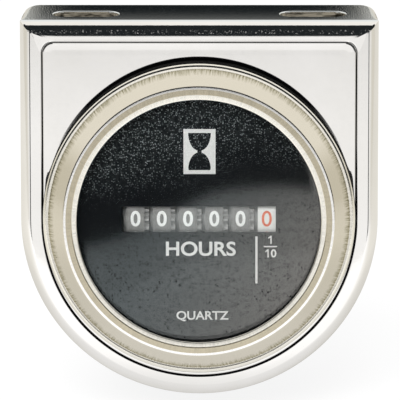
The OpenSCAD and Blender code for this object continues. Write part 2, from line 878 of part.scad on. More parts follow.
module intermediate_gear() {
    bore_r = arbor_d / 2 + bore_play;
    color(natural) across(drive_x, mid_c) difference() {
        union() {
            linear_extrude(first_x - drive_x) gear_outline(pinion_teeth, second_module, second_dir + 180);
            translate([0, 0, first_x - drive_x]) linear_extrude(train_w)
                gear_outline(first_teeth, first_module, first_dir + 180 / first_teeth);
        }
        translate([0, 0, -past]) cylinder(r = bore_r, h = first_x - drive_x + train_w + 2 * past);
    }
}

module intermediate_arbor() {
    over = 0.3;
    color(brass) across(drive_x - over, mid_c)
        cylinder(d = arbor_d, h = right_x + plate_t + over - drive_x);
}

// Stepper motor: magnet and pinion on one spindle, C-shaped stator, core with its coil
module rotor_magnet() {
    color([0.25, 0.25, 0.27]) across(magnet_x, rotor_c) difference() {
        cylinder(d = magnet_d, h = magnet_l);
        translate([0, 0, -past]) cylinder(r = first_module * 2 + fit, h = magnet_l + 2 * past);
    }
}

module rotor_spindle() {
    hub_r = first_module * 2;
    collar_r = first_module * 3;
    bore_r = rotor_arbor_d / 2 + bore_play;
    color(white) across(magnet_x, rotor_c) difference() {
        union() {
            cylinder(r = hub_r, h = magnet_l + past);
            translate([0, 0, magnet_l]) cylinder(r = collar_r, h = first_x - magnet_x - magnet_l);
            translate([0, 0, first_x - magnet_x]) linear_extrude(train_w)
                gear_outline(pinion_teeth, first_module, first_dir + 180);
        }
        translate([0, 0, -past]) cylinder(r = bore_r, h = first_x + train_w - magnet_x + 2 * past);
    }
}

module rotor_arbor() {
    color(steel) across(bridge_x, rotor_c) cylinder(d = rotor_arbor_d, h = right_x + plate_t - bridge_x);
}

module stator() {
    color(steel) across(core_x, [0, 0]) linear_extrude(stator_t) difference() {
        translate([stator_front, stator_low]) square(stator_w);
        translate([stator_front + rotor_limb_w, stator_low + limb_w])
            square([stator_w, stator_w - 2 * limb_w]);
        translate(rotor_c) circle(d = magnet_d + 2 * air_gap);
        for (corner = [corner_a, corner_b, corner_c])
            translate(corner) circle(d = motor_screw_d + 4 * fit);
    }
}

module coil_core() {
    color(steel) across(core_x - stator_t, [0, 0]) linear_extrude(stator_t) difference() {
        translate([core_c - limb_w / 2, stator_low]) square([limb_w, stator_w]);
        for (corner = [corner_b, corner_c])
            translate(corner) circle(d = motor_screw_d + 4 * fit);
    }
}

// A square sleeve round the coil core, from z0 to z1
module sleeve(inner_margin, width_x, width_y, z0, z1) {
    hole_x = stator_t + 2 * inner_margin;
    hole_y = limb_w + 2 * inner_margin;
    in_movement() translate([core_x - stator_t / 2, core_c, z0]) linear_extrude(z1 - z0) difference() {
        square([width_x, width_y], center = true);
        square([hole_x, hole_y], center = true);
    }
}

module coil_bobbin() {
    tube_x = stator_t + 2 * fit + 2 * bobbin_wall;
    tube_y = limb_w + 2 * fit + 2 * bobbin_wall;
    color(natural) {
        sleeve(fit, tube_x, tube_y, coil_low, coil_top);
        sleeve(fit, cheek_w, cheek_w, coil_low, coil_low + bobbin_wall);
        sleeve(fit, cheek_w, cheek_w, coil_top - bobbin_wall, coil_top);
    }
}

module coil_winding() {
    wound_w = cheek_w - 2 * winding_margin;
    low = coil_low + bobbin_wall;
    high = coil_top - bobbin_wall;
    color(copper) sleeve(fit + bobbin_wall, wound_w, wound_w, low, high);
}

// Bridge: carries the far end of the rotor's arbor, on two legs that stand on the stator
module motor_bridge() {
    leg = limb_w;
    color(natural) difference() {
        union() {
            across(bridge_x, [0, 0]) linear_extrude(plate_t)
                translate([stator_front, stator_low]) square([rotor_limb_w, stator_w]);
            for (z = [stator_low, stator_top - leg])
                across(bridge_x, [stator_front, z]) linear_extrude(core_x - bridge_x) square(leg);
        }
        across(bridge_x - past, rotor_c) cylinder(d = rotor_arbor_d + 2 * fit, h = plate_t + 2 * past);
        across(bridge_x - past, corner_a)
            cylinder(d = motor_screw_d + 4 * fit, h = core_x - bridge_x + 2 * past);
    }
}

// Small screw along its own z: the head first, then the shank
module small_screw(d, head_d, length) {
    slit_w = head_d * 0.2;
    slit_h = screw_head_h * 0.45;
    translate([0, 0, -screw_head_h]) difference() {
        cylinder(d = head_d, h = screw_head_h);
        translate([-head_d, -slit_w / 2, -past]) cube([2 * head_d, slit_w, past + slit_h]);
    }
    cylinder(d = d, h = length);
}

module motor_screws() {
    color(steel) {
        across(bridge_x, corner_a)
            small_screw(motor_screw_d, motor_head_d, stator_x - bridge_x + motor_grip);
        for (corner = [corner_b, corner_c])
            across(core_x - stator_t, corner)
                small_screw(motor_screw_d, motor_head_d, 2 * stator_t + motor_grip);
    }
}

module frame_screws() {
    tip_gap = 0.2;
    color(steel) in_movement() for (x = [left_screw_x, right_screw_x])
        backward(x, foot_y, 0)
            small_screw(screw_d, screw_head_d, foot_t + board_t + post_h - tip_gap);
}

// Circuit board, cut from a disc, with its parts on the side towards the number wheels
module circuit_board() {
    board_play = 0.4;
    board_r = movement_r - board_play;
    slot = [blade_t + 4 * fit, terminal_tail_w + 4 * fit] / movement_k;
    slot_at = [blade_spacing / 2, -blade_drop] / movement_k;
    color([0.1, 0.35, 0.18]) in_movement() translate([0, board_y + board_t, 0]) rotate([90, 0, 0])
        linear_extrude(board_t) difference() {
            intersection() {
                circle(board_r);
                square([2 * board_r, board_h], center = true);
            }
            for (x = [left_screw_x, right_screw_x])
                translate([x, 0]) circle(d = screw_d + 4 * fit);
            for (s = [-1, 1])
                translate([s * slot_at[0], slot_at[1]]) square(slot, center = true);
        }
}

module quartz_crystal() {
    can_d = 2;
    can_l = 6;
    place = [-12, 6];
    color(steel) in_movement() translate([place[0], board_y - can_d / 2, place[1]])
        cylinder(d = can_d, h = can_l);
}

module driver_chip() {
    body_w = 3.9;
    body_l = 4.9;
    body_t = 1.4;
    stand = 0.2;
    leg_w = 0.4;
    leg_t = 0.4;
    leg_reach = 6;
    leg_pitch = 1.27;
    place = [-5, 3];
    color(black) in_movement() translate([place[0], board_y, place[1]]) {
        translate([-body_l / 2, -body_t - stand, -body_w / 2]) cube([body_l, body_t, body_w]);
        for (i = [-1.5 : 1 : 1.5])
            translate([i * leg_pitch - leg_w / 2, -leg_t, -leg_reach / 2]) cube([leg_w, leg_t, leg_reach]);
    }
}

module capacitor() {
    can_d = 5;
    can_l = 7;
    place = [-6, -7];
    color([0.2, 0.25, 0.4]) in_movement() translate([place[0], board_y, place[1]]) rotate([90, 0, 0])
        cylinder(d = can_d, h = can_l);
}

// Axial part lying on the board, with its two wires turned down into it
module axial_part(place, body_d, body_l, wire_d, span) {
    in_movement() translate([place[0], board_y - body_d / 2, place[1]]) rotate([0, 90, 0]) {
        translate([0, 0, -body_l / 2]) cylinder(d = body_d, h = body_l);
        translate([0, 0, -span / 2]) cylinder(d = wire_d, h = span);
        for (s = [-1, 1])
            translate([0, 0, s * (span / 2 - wire_d / 2)]) rotate([-90, 0, 0])
                cylinder(d = wire_d, h = body_d / 2);
    }
}

module diode() {
    color(black) axial_part([2, -7], 2, 4.2, 0.6, 8);
}

module resistor() {
    color([0.75, 0.62, 0.45]) axial_part([2, 11], 1.8, 3.6, 0.5, 7.4);
}

mounting_bracket();
bezel();
lens();
lens_gasket();
dial_plate();
panel_gasket();
meter_case();
terminal_left();
terminal_right();
clamp_strap();
clamp_studs();
clamp_washers();
clamp_nuts();
movement_frame();
wheel_shaft();
pinion_shaft();
retaining_clip();
wheel_tenths();
wheel_units();
wheel_tens();
wheel_hundreds();
wheel_thousands();
wheel_ten_thousands();
pinion_units();
pinion_tens();
pinion_hundreds();
pinion_thousands();
pinion_ten_thousands();
drive_gear();
intermediate_gear();
intermediate_arbor();
rotor_magnet();
rotor_spindle();
rotor_arbor();
stator();
coil_core();
coil_bobbin();
coil_winding();
motor_bridge();
motor_screws();
frame_screws();
circuit_board();
quartz_crystal();
driver_chip();
capacitor();
diode();
resistor();
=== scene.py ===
# Hour meter with six number wheels, in a plated bracket that hangs from its slotted flange.
# Metres, +Z up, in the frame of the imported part. The dial looks towards -Y and leans back.
# Pieces are drawn in millimetres on the face, with depths from the panel's front, and then put in place.
import math

import bmesh
import bpy
from mathutils import Matrix, Vector


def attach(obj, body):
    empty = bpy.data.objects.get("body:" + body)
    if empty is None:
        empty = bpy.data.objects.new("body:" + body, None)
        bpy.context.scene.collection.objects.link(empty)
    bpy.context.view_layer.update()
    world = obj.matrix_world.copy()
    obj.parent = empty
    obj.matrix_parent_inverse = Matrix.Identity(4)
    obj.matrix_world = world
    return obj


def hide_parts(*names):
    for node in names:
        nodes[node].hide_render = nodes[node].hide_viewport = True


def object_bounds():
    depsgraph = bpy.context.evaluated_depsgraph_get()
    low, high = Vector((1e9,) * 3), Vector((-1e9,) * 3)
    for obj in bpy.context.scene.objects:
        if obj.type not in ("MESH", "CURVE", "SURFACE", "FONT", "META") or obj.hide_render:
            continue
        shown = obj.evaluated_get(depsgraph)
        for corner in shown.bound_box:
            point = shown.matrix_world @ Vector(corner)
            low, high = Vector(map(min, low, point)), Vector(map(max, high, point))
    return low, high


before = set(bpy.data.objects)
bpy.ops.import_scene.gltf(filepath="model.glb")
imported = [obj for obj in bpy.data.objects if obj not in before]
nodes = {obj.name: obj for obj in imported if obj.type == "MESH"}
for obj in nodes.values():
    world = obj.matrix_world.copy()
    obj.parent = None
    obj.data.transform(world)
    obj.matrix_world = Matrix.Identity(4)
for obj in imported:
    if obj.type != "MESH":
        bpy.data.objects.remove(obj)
cad_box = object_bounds()


# Mounting bracket. One piece of mild steel sheet, drawn to a shallow tray with a raised panel and a
# bent flange, polished and chrome plated. It carries the meter in its round hole, and two screws
# through the flange's slots hold it under a dash.
class Wire:
    """A socket in a finish's node tree. Sums on it add Math nodes, and node() adds any other node."""

    def __init__(self, tree, socket=None):
        self.tree = tree
        self.socket = socket

    def node(self, kind, settings=None, sockets=None, out=0):
        """A new node of a kind, with its settings and its sockets' values or wires; gives an output."""
        made = self.tree.nodes.new("ShaderNode" + kind)
        for key, value in (settings or {}).items():
            setattr(made, key, value)
        for key, value in (sockets or {}).items():
            if isinstance(value, Wire):
                self.tree.links.new(value.socket, made.inputs[key])
            else:
                made.inputs[key].default_value = value
        return Wire(self.tree, made.outputs[out])

    def beside(self, out):
        """Another output of the node that this wire comes from."""
        return Wire(self.tree, self.socket.node.outputs[out])

    def maths(self, operation, *others):
        """A Math node on this wire and others."""
        return self.node("Math", {"operation": operation}, dict(enumerate((self, *others))))

    def __add__(self, other):
        return self.maths("ADD", other)

    __radd__ = __add__

    def __sub__(self, other):
        return self.maths("SUBTRACT", other)

    def __rsub__(self, other):
        return self.node("Math", {"operation": "SUBTRACT"}, {0: other, 1: self})

    def __mul__(self, other):
        return self.maths("MULTIPLY", other)

    __rmul__ = __mul__

    def rise(self, low, high, slope="LINEAR"):
        """0 below low, 1 above high, and a slope between them."""
        sockets = {"Value": self, "From Min": low, "From Max": high}
        return self.node("MapRange", {"clamp": True, "interpolation_type": slope}, sockets)

    def mix(self, dark, light):
        """A colour between dark and light, by this value."""
        return self.node("Mix", {"data_type": "RGBA"}, {0: self, 6: tone(dark), 7: tone(light)}, out=2)

    def to(self, shader, name):
        self.tree.links.new(self.socket, shader.inputs[name])


def tone(colour):
    """What a colour socket takes: a wire as it is, or three numbers with an alpha of 1."""
    return colour if isinstance(colour, Wire) else (*colour, 1)


def new_finish(name, **constants):
    """A material, its Principled shader, and a wire of the piece's own coordinates in metres."""
    material = bpy.data.materials.new(name)
    material.use_nodes = True
    shader = material.node_tree.nodes["Principled BSDF"]
    for key, value in constants.items():
        shader.inputs[key.replace("_", " ")].default_value = value
    return material, shader, Wire(material.node_tree).node("TexCoord", out="Object")


def grain(place, per_mm, detail=2.0, stretch=(1, 1, 1)):
    """Fine noise with about per_mm grains to the millimetre."""
    scale = [1000 * per_mm * s for s in stretch]
    spread = place.node("Mapping", {"vector_type": "POINT"}, {"Vector": place, "Scale": scale})
    return place.node("TexNoise", None, {"Vector": spread, "Scale": 1, "Detail": detail})


def bump(shader, height, depth_mm, strength=1.0):
    """Raises the surface by height times depth_mm."""
    sockets = {"Height": height, "Distance": depth_mm / 1000, "Strength": strength}
    height.node("Bump", None, sockets).to(shader, "Normal")


def only(piece):
    """Selects one object alone."""
    bpy.ops.object.select_all(action="DESELECT")
    piece.select_set(True)
    bpy.context.view_layer.objects.active = piece


def use(piece, kind, **settings):
    """Adds a modifier to a piece and applies it."""
    only(piece)
    modifier = piece.modifiers.new(kind.lower(), kind)
    for key, value in settings.items():
        setattr(modifier, key, value)
    bpy.ops.object.modifier_apply(modifier=modifier.name)


def cut(piece, tool, operation="DIFFERENCE"):
    """Cuts a piece with a tool, which is then thrown away."""
    use(piece, "BOOLEAN", operation=operation, solver="EXACT", object=tool)
    bpy.data.objects.remove(tool)


def settle(piece, place):
    """Puts a piece in its place, with the place in its mesh."""
    only(piece)
    piece.matrix_world = place @ piece.matrix_world
    bpy.ops.object.transform_apply(location=True, rotation=True, scale=True)


def thread_points(name, points):
    """A chain of edges through points in millimetres, drawn out from one point."""
    bpy.ops.object.select_all(action="DESELECT")
    bpy.ops.mesh.primitive_plane_add(size=0.001)
    piece = bpy.context.object
    piece.name = name
    piece.data.name = name
    bpy.ops.object.mode_set(mode="EDIT")
    bpy.ops.mesh.select_mode(type="VERT")
    bpy.ops.mesh.select_all(action="SELECT")
    bpy.ops.mesh.merge(type="CENTER")
    at = Vector((0, 0, 0))
    for n, point in enumerate(points):
        goal = Vector(point) / 1000
        if n == 0:
            bpy.ops.transform.translate(value=goal - at)
        else:
            bpy.ops.mesh.extrude_region_move(TRANSFORM_OT_translate={"value": goal - at})
        at = goal
    return piece


def arc(centre, radius, start, end, steps):
    """Points on an arc about a centre, from one angle to another."""
    turns = [math.radians(start + (end - start) * i / steps) for i in range(steps + 1)]
    return [(centre[0] + radius * math.cos(a), centre[1] + radius * math.sin(a)) for a in turns]


# The face is drawn about the dial's middle. A drop is how far below it the centre of a round foot lies.
lean_degrees = 8
face_lean = math.radians(lean_degrees)
dial_middle = (0, -0.01204576, -0.03639753)
face_place = Matrix.Translation(dial_middle) @ Matrix.Rotation(-face_lean, 4, "X")
sheet = 1.2
hole_r = 26.4
panel_half = 29.6
panel_top = 33.0
panel_corner = 2.0
panel_drop = 1.2
bend_half = 31.9
bend_top = 35.0
bend_depth = 2.6
bend_r = 2.1
bend_corner = 0.4
rim_drop = 0.88
wall_half = 33.99


def outline(half, top, corner, drop, depth, top_depth=None):
    """A closed line round the face: half-round foot, upright sides and rounded upper corners."""
    foot_steps, side_steps, corner_steps = 40, 12, 10
    step = 0 if top_depth is None else top_depth - depth
    right = []
    for i in range(foot_steps):
        a = math.radians(-90 + 90 * i / foot_steps)
        right.append((half * math.cos(a), depth, half * math.sin(a) - drop))
    for i in range(side_steps):
        right.append((half, depth, (top - corner + drop) * i / side_steps - drop))
    for i in range(corner_steps):
        a = math.radians(90 * i / corner_steps)
        x = half - corner + corner * math.cos(a)
        right.append((x, depth + step * i / corner_steps, top - corner + corner * math.sin(a)))
    for i in range(side_steps + 1):
        right.append(((half - corner) * (1 - i / side_steps), depth + step, top))
    return right + [(-x, y, z) for x, y, z in right[-2:0:-1]]


def panel_line(past, depth, top_depth=None):
    """An outline that runs past mm outside the panel's edge, or inside it where past is below 0."""
    corner = max(panel_corner + past, 0.5)
    return outline(panel_half + past, panel_top + past, corner, panel_drop, depth, top_depth)


def round_line(radius, depth):
    """A circle about the hole with a point for every point of an outline."""
    return [
        (radius * x / math.hypot(x, z), depth, radius * z / math.hypot(x, z))
        for x, _, z in panel_line(0, 0)
    ]


def roll_line(radius, turn):
    """A line on the rolled edge, turn degrees round from the wall; the top bends on to the flange."""
    side = math.radians(turn)
    over = math.radians(lean_degrees + turn * (90 - lean_degrees) / 90)
    return outline(
        bend_half + radius * math.cos(side), bend_top + radius * math.cos(over), bend_corner, rim_drop,
        bend_depth - radius * math.sin(side), bend_depth - radius * math.sin(over),
    )


def wall_line(half, depth, along, under, corner=bend_corner):
    """A line on the side walls, with its top on the flange, along mm behind the bend."""
    up = bend_r - under
    top = bend_top + up * math.cos(face_lean) + along * math.sin(face_lean)
    back = bend_depth - up * math.sin(face_lean) + along * math.cos(face_lean)
    return outline(half, top, corner, rim_drop, depth, back)


def skinned(name, lines):
    """A skin over closed lines of equal count, each drawn out of the one before."""
    piece = thread_points(name, lines[0] + lines[0][:1])
    bpy.ops.mesh.select_all(action="SELECT")
    bpy.ops.mesh.remove_doubles(threshold=1e-6)
    net = bmesh.from_edit_mesh(piece.data)
    number = net.verts.layers.int.new("place_on_line")
    spots = [Vector(p) / 1000 for p in lines[0]]
    for v in net.verts:
        v[number] = min(range(len(spots)), key=lambda k: (v.co - spots[k]).length)
    for line in lines[1:]:
        bpy.ops.mesh.extrude_region_move(TRANSFORM_OT_translate={"value": (0, 0, 0)})
        net = bmesh.from_edit_mesh(piece.data)
        number = net.verts.layers.int["place_on_line"]
        for v in net.verts:
            if v.select:
                v.co = Vector(line[v[number]]) / 1000
        bmesh.update_edit_mesh(piece.data)
    bpy.ops.mesh.select_all(action="SELECT")
    bpy.ops.mesh.remove_doubles(threshold=1e-6)
    bpy.ops.mesh.normals_make_consistent(inside=False)
    return piece


hole_edge = ((0, 1.2), (0, 0.3), (0.06, 0.12), (0.2, 0.02), (0.45, 0), (1.2, 0))
sheet_lines = [round_line(hole_r + past, depth) for past, depth in hole_edge]
panel_edge = ((2.6, 0), (2.2, 0), (1.6, 0.003), (1.1, 0.001), (0.8, -0.011), (0.45, -0.032))
panel_edge += ((0.14, -0.048), (0.05, -0.03), (0.015, 0), (0, 0.06))
sheet_lines += [panel_line(-inset, depth) for inset, depth in panel_edge]
crease_edge = ((0, 0.5, 0.43), (0.04, 0.56, 0.445), (0.12, 0.58, 0.445), (0.2, 0.56, 0.443))
crease_edge += ((0.24, 0.52, 0.44), (0.29, 0.48, 0.44), (0.42, 0.45, 0.44), (0.65, 0.44, 0.44))
sheet_lines += [panel_line(past, depth, top_depth) for past, depth, top_depth in crease_edge]
sheet_lines.append(outline(31.6, 34.62, 0.3, 0.9, 0.49, 0.405))
sheet_lines += [roll_line(bend_r, 90 - 6 * i) for i in range(16)]
outer_wall = ((3.2, 0.6, 0.8), (5.2, 2.6, 1.15), (7.3, 4.7, 1.33), (7.49, 4.9, 1.35))
sheet_lines += [wall_line(wall_half, depth, along, 0, corner) for depth, along, corner in outer_wall]
inner_wall = ((7.49, 4.9), (7.3, 4.7), (3.2, 0.6))
sheet_lines += [wall_line(32.8, depth, along, sheet) for depth, along in inner_wall]
sheet_lines += [roll_line(bend_r - sheet, 15 * i) for i in range(7)]
sheet_lines += [outline(30.6, 34.0, 2.4, 1.1, 1.7), panel_line(0, 1.7)]
for inset, depth in ((0.1, 1.6), (0.1, 1.24), (0.3, 1.2)):
    sheet_lines.append(outline(panel_half - inset, panel_top - inset, panel_corner, panel_drop, depth))
sheet_lines += [round_line(hole_r + 1, sheet), round_line(hole_r, sheet)]
plate = skinned("bracket_sheet", sheet_lines)
bpy.ops.mesh.select_all(action="DESELECT")
bpy.ops.mesh.select_mode(type="FACE")
net = bmesh.from_edit_mesh(plate.data)
flange_way = Vector((0, math.cos(face_lean), math.sin(face_lean)))
flange_level = 36
for f in net.faces:
    f.select_set(f.normal.dot(flange_way) > 0.98 and f.calc_center_median().z > flange_level / 1000)
bmesh.update_edit_mesh(plate.data)
flange_run = ((4.9, 32.64), (8.6, 32.4), (9.8, 32.25), (10.6, 32.0))
flange_run += ((11.2, 31.65), (11.6, 31.25), (11.8, 30.75))
for (start, wide), (end, narrow) in zip(flange_run, flange_run[1:]):
    shift = flange_way * (end - start) / 1000
    bpy.ops.mesh.extrude_region_move(TRANSFORM_OT_translate={"value": shift})
    bpy.ops.transform.resize(value=(narrow / wide, 1, 1), center_override=(0, 0, 0))
bpy.ops.object.mode_set(mode="OBJECT")
settle(plate, face_place)
slot_x = 21.6
slot_half = 4.1
slot_r = 2.15
slot_wall = ((0, -4), (0, -0.2), (0.027, -0.1), (0.08, -0.04), (0.14, -0.01), (0.2, 0.0005), (0.6, 1))
for sign in (-1, 1):
    slot_lines = []
    for wider, level in slot_wall:
        half_slot = arc((slot_half, 0), slot_r + wider, -90, 90, 24)
        slot_lines.append([(sign * slot_x + k * x, k * y, level) for k in (1, -1) for x, y in half_slot])
    cutter = skinned("slot_cutter", slot_lines)
    bpy.ops.mesh.select_all(action="SELECT")
    bpy.ops.mesh.fill_holes(sides=0)
    bpy.ops.mesh.normals_make_consistent(inside=False)
    bpy.ops.object.mode_set(mode="OBJECT")
    cut(plate, cutter)
only(plate)
bpy.ops.object.shade_smooth_by_angle(angle=math.radians(38))
use(plate, "WEIGHTED_NORMAL", mode="FACE_AREA", weight=75, keep_sharp=True)


def on_dial(place):
    """Wires of a point's x, forward depth and z on the face, in millimetres."""
    there = place.node(
        "Mapping", {"vector_type": "TEXTURE"},
        {
            "Vector": place, "Location": face_place.to_translation(),
            "Rotation": face_place.to_euler(), "Scale": (0.001, 0.001, 0.001),
        },
    )
    side = there.node("SeparateXYZ", None, {0: there})
    return side, side.beside("Y") * -1, side.beside("Z")


def from_middle(across, up):
    """How far a point lies from the middle, by its wires across and up."""
    return (across * across + up * up).maths("SQRT")


def flecks(place, per_mm, size, seen):
    """Round specks, size in parts of their spacing. Each draws a lot from 0 to 1, and seen fades it in."""
    cells = place.node("TexVoronoi", None, {"Vector": place, "Scale": 1000 * per_mm})
    lot = place.node("SeparateColor", None, {0: cells.beside("Color")})
    return (1 - cells.rise(0.3 * size, size)) * lot.rise(*seen)


dull_chrome = (0.86, 0.85, 0.83)
clear_chrome = (0.91, 0.90, 0.89)
cool_chrome = (0.76, 0.80, 0.83)
slot_soil = (0.05, 0.045, 0.035)
slot_steel = (0.62, 0.58, 0.50)
# The colour of the painted shade along the panel's groove and of the painted crescent above the bezel.
crease_shade_tone = (0.015, 0.015, 0.016)
crescent_r = 29.5
crescent_up = 0.75
plating, shader, place = new_finish("bright_plating", Metallic=1.0)
side, depth, rise = on_dial(place)
cloud = grain(place, 0.06, 3)
haze = grain(place, 0.9, 3)
fine = grain(place, 3.2, 1)
wide = side.maths("ABSOLUTE")
low = rise + panel_drop
round_edge = from_middle(wide, low) - panel_half
corner_x = (wide - (panel_half - panel_corner)).maths("MAXIMUM", 0)
corner_z = (rise - (panel_top - panel_corner)).maths("MAXIMUM", 0)
square_edge = from_middle(corner_x, corner_z) - panel_corner
above = low.maths("GREATER_THAN", 0)
past = above * square_edge + (1 - above) * round_edge
# Painted shade: a dark line along the groove round the panel, wider towards the bottom, stands in for the
# crease's shade and the shadow gap under the bezel.
width = 0.4 - 0.2 * rise.rise(0, 22) + 0.12 * (0 - rise).rise(6, 22) - 0.12 * rise.rise(28, 32)
painted_crease_shade = past.rise(-0.06, 0.0) * (1 - (past - width).rise(-0.04, 0.04)) * (1 - (0 - depth).rise(1.0, 1.1))
# Painted shadow and reflection: a dark crescent on the panel above the gasket stands in for the bezel's
# shadow gap and its reflection in the panel.
crescent = 1 - from_middle(wide, rise - crescent_up).rise(crescent_r, crescent_r + 0.12)
painted_crease_shade = painted_crease_shade.maths("MAXIMUM", crescent * depth.rise(-0.3, -0.2) * rise.rise(13, 21))
parts = place.node("SeparateXYZ", None, {0: place})
behind = parts.beside("Y") * 1000
level = parts.beside("Z") * 1000
in_slot = 1 - behind.maths("ABSOLUTE").rise(slot_r, slot_r + 0.25)
in_slot = in_slot * (1 - level.rise(-0.35, -0.25)) * level.rise(-1.6, -1.4)
drag = grain(place, 1.6, 2, stretch=(0.2, 1, 1))
on_flange = level.rise(-0.3, -0.02)
clean = cloud.rise(0.35, 0.7).mix(dull_chrome, clear_chrome)
# Painted reflection: the flange's cooler, darker tone stands in for the blue-grey room that it reflects.
clean = on_flange.mix(clean, cool_chrome)
clean = in_slot.mix(clean, drag.rise(0.38, 0.58).mix(slot_soil, slot_steel))
painted_crease_shade.mix(clean, crease_shade_tone).to(shader, "Base Color")
worn = flecks(place, 2.6, 0.7, (0.2, 0.9)) * rise.rise(34.5, 34.75) * (1 - rise.rise(35.2, 35.5))
(0.035 + 0.04 * haze.rise(0.35, 0.75) + 0.4 * painted_crease_shade + 0.25 * in_slot + 0.42 * worn).to(shader, "Roughness")
crown = on_flange * (behind - 3.5) * (behind - 3.5) * -0.0013
pitted = 0.35 + 3 * rise.rise(34.7, 35.2)
ripple = on_flange * grain(place, 3.0, 2, stretch=(1, 0.4, 1)) * 0.0045
uneven = (grain(place, 0.22, 1) + 0.05 * haze + fine * pitted) * 0.0014
bump(shader, uneven + crown + ripple, 1.0)
plate.data.materials.append(plating)
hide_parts("mounting_bracket")
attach(plate, "meter")


# Bezel. Thin brass sheet spun to a ring, with a rolled foot, a cone, a rounded crest and a lip that
# holds the lens, then nickel plated to a warm shine. It is curled over the flange of the case.
def turned(name, section, steps, closed=True, x=0):
    """A ring or disc turned from a section of radius and forward depth, in mm, about an axis at x."""
    points = [(r, -p, 0) for r, p in section]
    piece = thread_points(name, points + points[:1] if closed else points)
    bpy.ops.mesh.select_all(action="SELECT")
    bpy.ops.mesh.spin(steps=steps, angle=2 * math.pi, center=(0, 0, 0), axis=(0, 1, 0))
    bpy.ops.mesh.select_all(action="SELECT")
    bpy.ops.mesh.remove_doubles(threshold=1e-6)
    bpy.ops.mesh.normals_make_consistent(inside=False)
    bpy.ops.object.mode_set(mode="OBJECT")
    bpy.ops.object.shade_smooth_by_angle(angle=math.radians(28))
    settle(piece, face_place @ Matrix.Translation((x / 1000, 0, 0)))
    return piece


foot = 3.8
bezel_section = [(27.0, foot + 0.45), (27.0, foot)]
bezel_section += arc((28.9, foot + 0.6), 0.6, -90, 96, 15)
bezel_section += [(28.62, foot + 1.165), (28.46, foot + 1.17)]
bezel_section += arc((25.45, foot + 4.49), 0.4, 36, 90, 9)
bezel_section += [(25.0, foot + 4.89), (24.12, foot + 4.885)]
bezel_section += arc((24.1, foot + 4.8), 0.085, 90, 160, 4)
bezel_section += [(23.99, foot + 4.64), (23.93, foot + 4.6)]
bezel_section += arc((23.24, foot + 4.37), 0.22, 88, 180, 8)
bezel_section += [(22.92, foot + 3.2), (23.3, foot + 3.2), (23.4, foot + 4.15), (24.3, foot + 4.44)]
bezel_section += [(25.4, foot + 4.44), (27.9, foot + 1.1), (27.9, foot + 0.45)]
ring = turned("bezel_ring", bezel_section, 256)
nickel, shader, place = new_finish("warm_nickel", Metallic=1.0)
side, depth, rise = on_dial(place)
radius = from_middle(side, rise)
turn = rise.maths("ARCTAN2", side)
streak_place = turn.node("CombineXYZ", None, {"X": turn * 90, "Y": radius * 0.6, "Z": depth * 0.2})
streak = streak_place.node("TexNoise", None, {"Vector": streak_place, "Scale": 1, "Detail": 3})
front = depth.rise(foot + 0.75, foot + 0.95)
crease = (radius + 0.5 * streak).rise(27.7, 28.6) * (1 - radius.rise(28.42, 28.55)) * front
stain = crease * streak.rise(0.32, 0.62)
bead = radius.rise(28.5, 28.6)
fillet = bead * (1 - radius.rise(28.75, 28.95)) * front
ledge = radius.rise(23.98, 24.04) * (1 - radius.rise(25.05, 25.15))
# Painted highlight: the band on the front of the crest is made nearly white.
crest_highlight = radius.rise(25.05, 25.15) * (1 - radius.rise(25.5, 25.55)) * depth.rise(foot + 4.7, foot + 4.8)
lip = 1 - radius.rise(23.95, 24.05)
tone_ring = lip.mix((0.74, 0.70, 0.605), (0.93, 0.905, 0.83))
tone_ring = bead.mix(tone_ring, (0.90, 0.875, 0.80))
tone_ring = fillet.mix(tone_ring, (0.80, 0.77, 0.70))
tone_ring = ledge.mix(tone_ring, (0.56, 0.51, 0.39))
tone_ring = crest_highlight.mix(tone_ring, (1.0, 0.99, 0.97))
tone_ring = (0.95 * stain).mix(tone_ring, (0.29, 0.27, 0.16))
# Painted shade: the bezel's back edge under the bead is made nearly black, for the shadow under the bead
# and its reflection in the panel.
under = 1 - depth.rise(foot + 0.45, foot + 0.62)
(under * 0.97).mix(tone_ring, (0.02, 0.02, 0.02)).to(shader, "Base Color")
(0.12 + 0.1 * streak.rise(0.3, 0.7) + 0.2 * stain + 0.4 * under).to(shader, "Roughness")
bump(shader, streak, 0.006, 0.25)
ring.data.materials.append(nickel)
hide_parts("bezel")
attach(ring, "meter")


# Lens. Clear acrylic, moulded with a slight dome and a flat rim. The bezel's lip presses it on the
# lens gasket. A moulded lens is never quite even, and its film of haze and its specks show in light.
lens_r = 25.8
lens_back = 5.65
lens_front = 7.0
dome_edge = 22.8
dome_rise = 0.9
dome_r = (dome_edge**2 + dome_rise**2) / (2 * dome_rise)
dome = []
for i in range(25):
    at_r = dome_edge * i / 24
    dome.append((at_r, dome_rise - dome_r + math.sqrt(dome_r**2 - at_r**2)))
lens_section = [(r, lens_back + up) for r, up in dome] + [(lens_r, lens_back), (lens_r, lens_front)]
lens_section += [(r, lens_front + up) for r, up in reversed(dome)]
glass = turned("lens_dome", lens_section, 160, closed=False)
cool_glint = (0.84, 0.96, 1.0)
warm_glint = (1.0, 0.97, 0.93)
clear, shader, place = new_finish("clear_acrylic")
clear.node_tree.nodes.remove(shader)
side, _, rise = on_dial(place)
to_right = (side - 0.5 * rise).rise(-8, 26)
left_dip = side.rise(-31, -13, "SMOOTHSTEP") - side.rise(-15, 5, "SMOOTHSTEP")
tip = 0.00085 * side - 0.000033 * side * side - 0.0115
wave = rise * (tip - 0.015 * left_dip) + 0.12 * grain(place, 0.035, 1)
glints = []
for tint in (cool_glint, warm_glint):
    glint = place.node("BsdfGlossy", None, {"Color": tone(tint), "Roughness": 0.07})
    bump(glint.socket.node, wave, 1.0)
    glints.append(glint)
shine = place.node("MixShader", None, {0: to_right, 1: glints[0], 2: glints[1]})
through = place.node("BsdfTransparent", None, {"Color": (0.985, 0.99, 0.985, 1)})
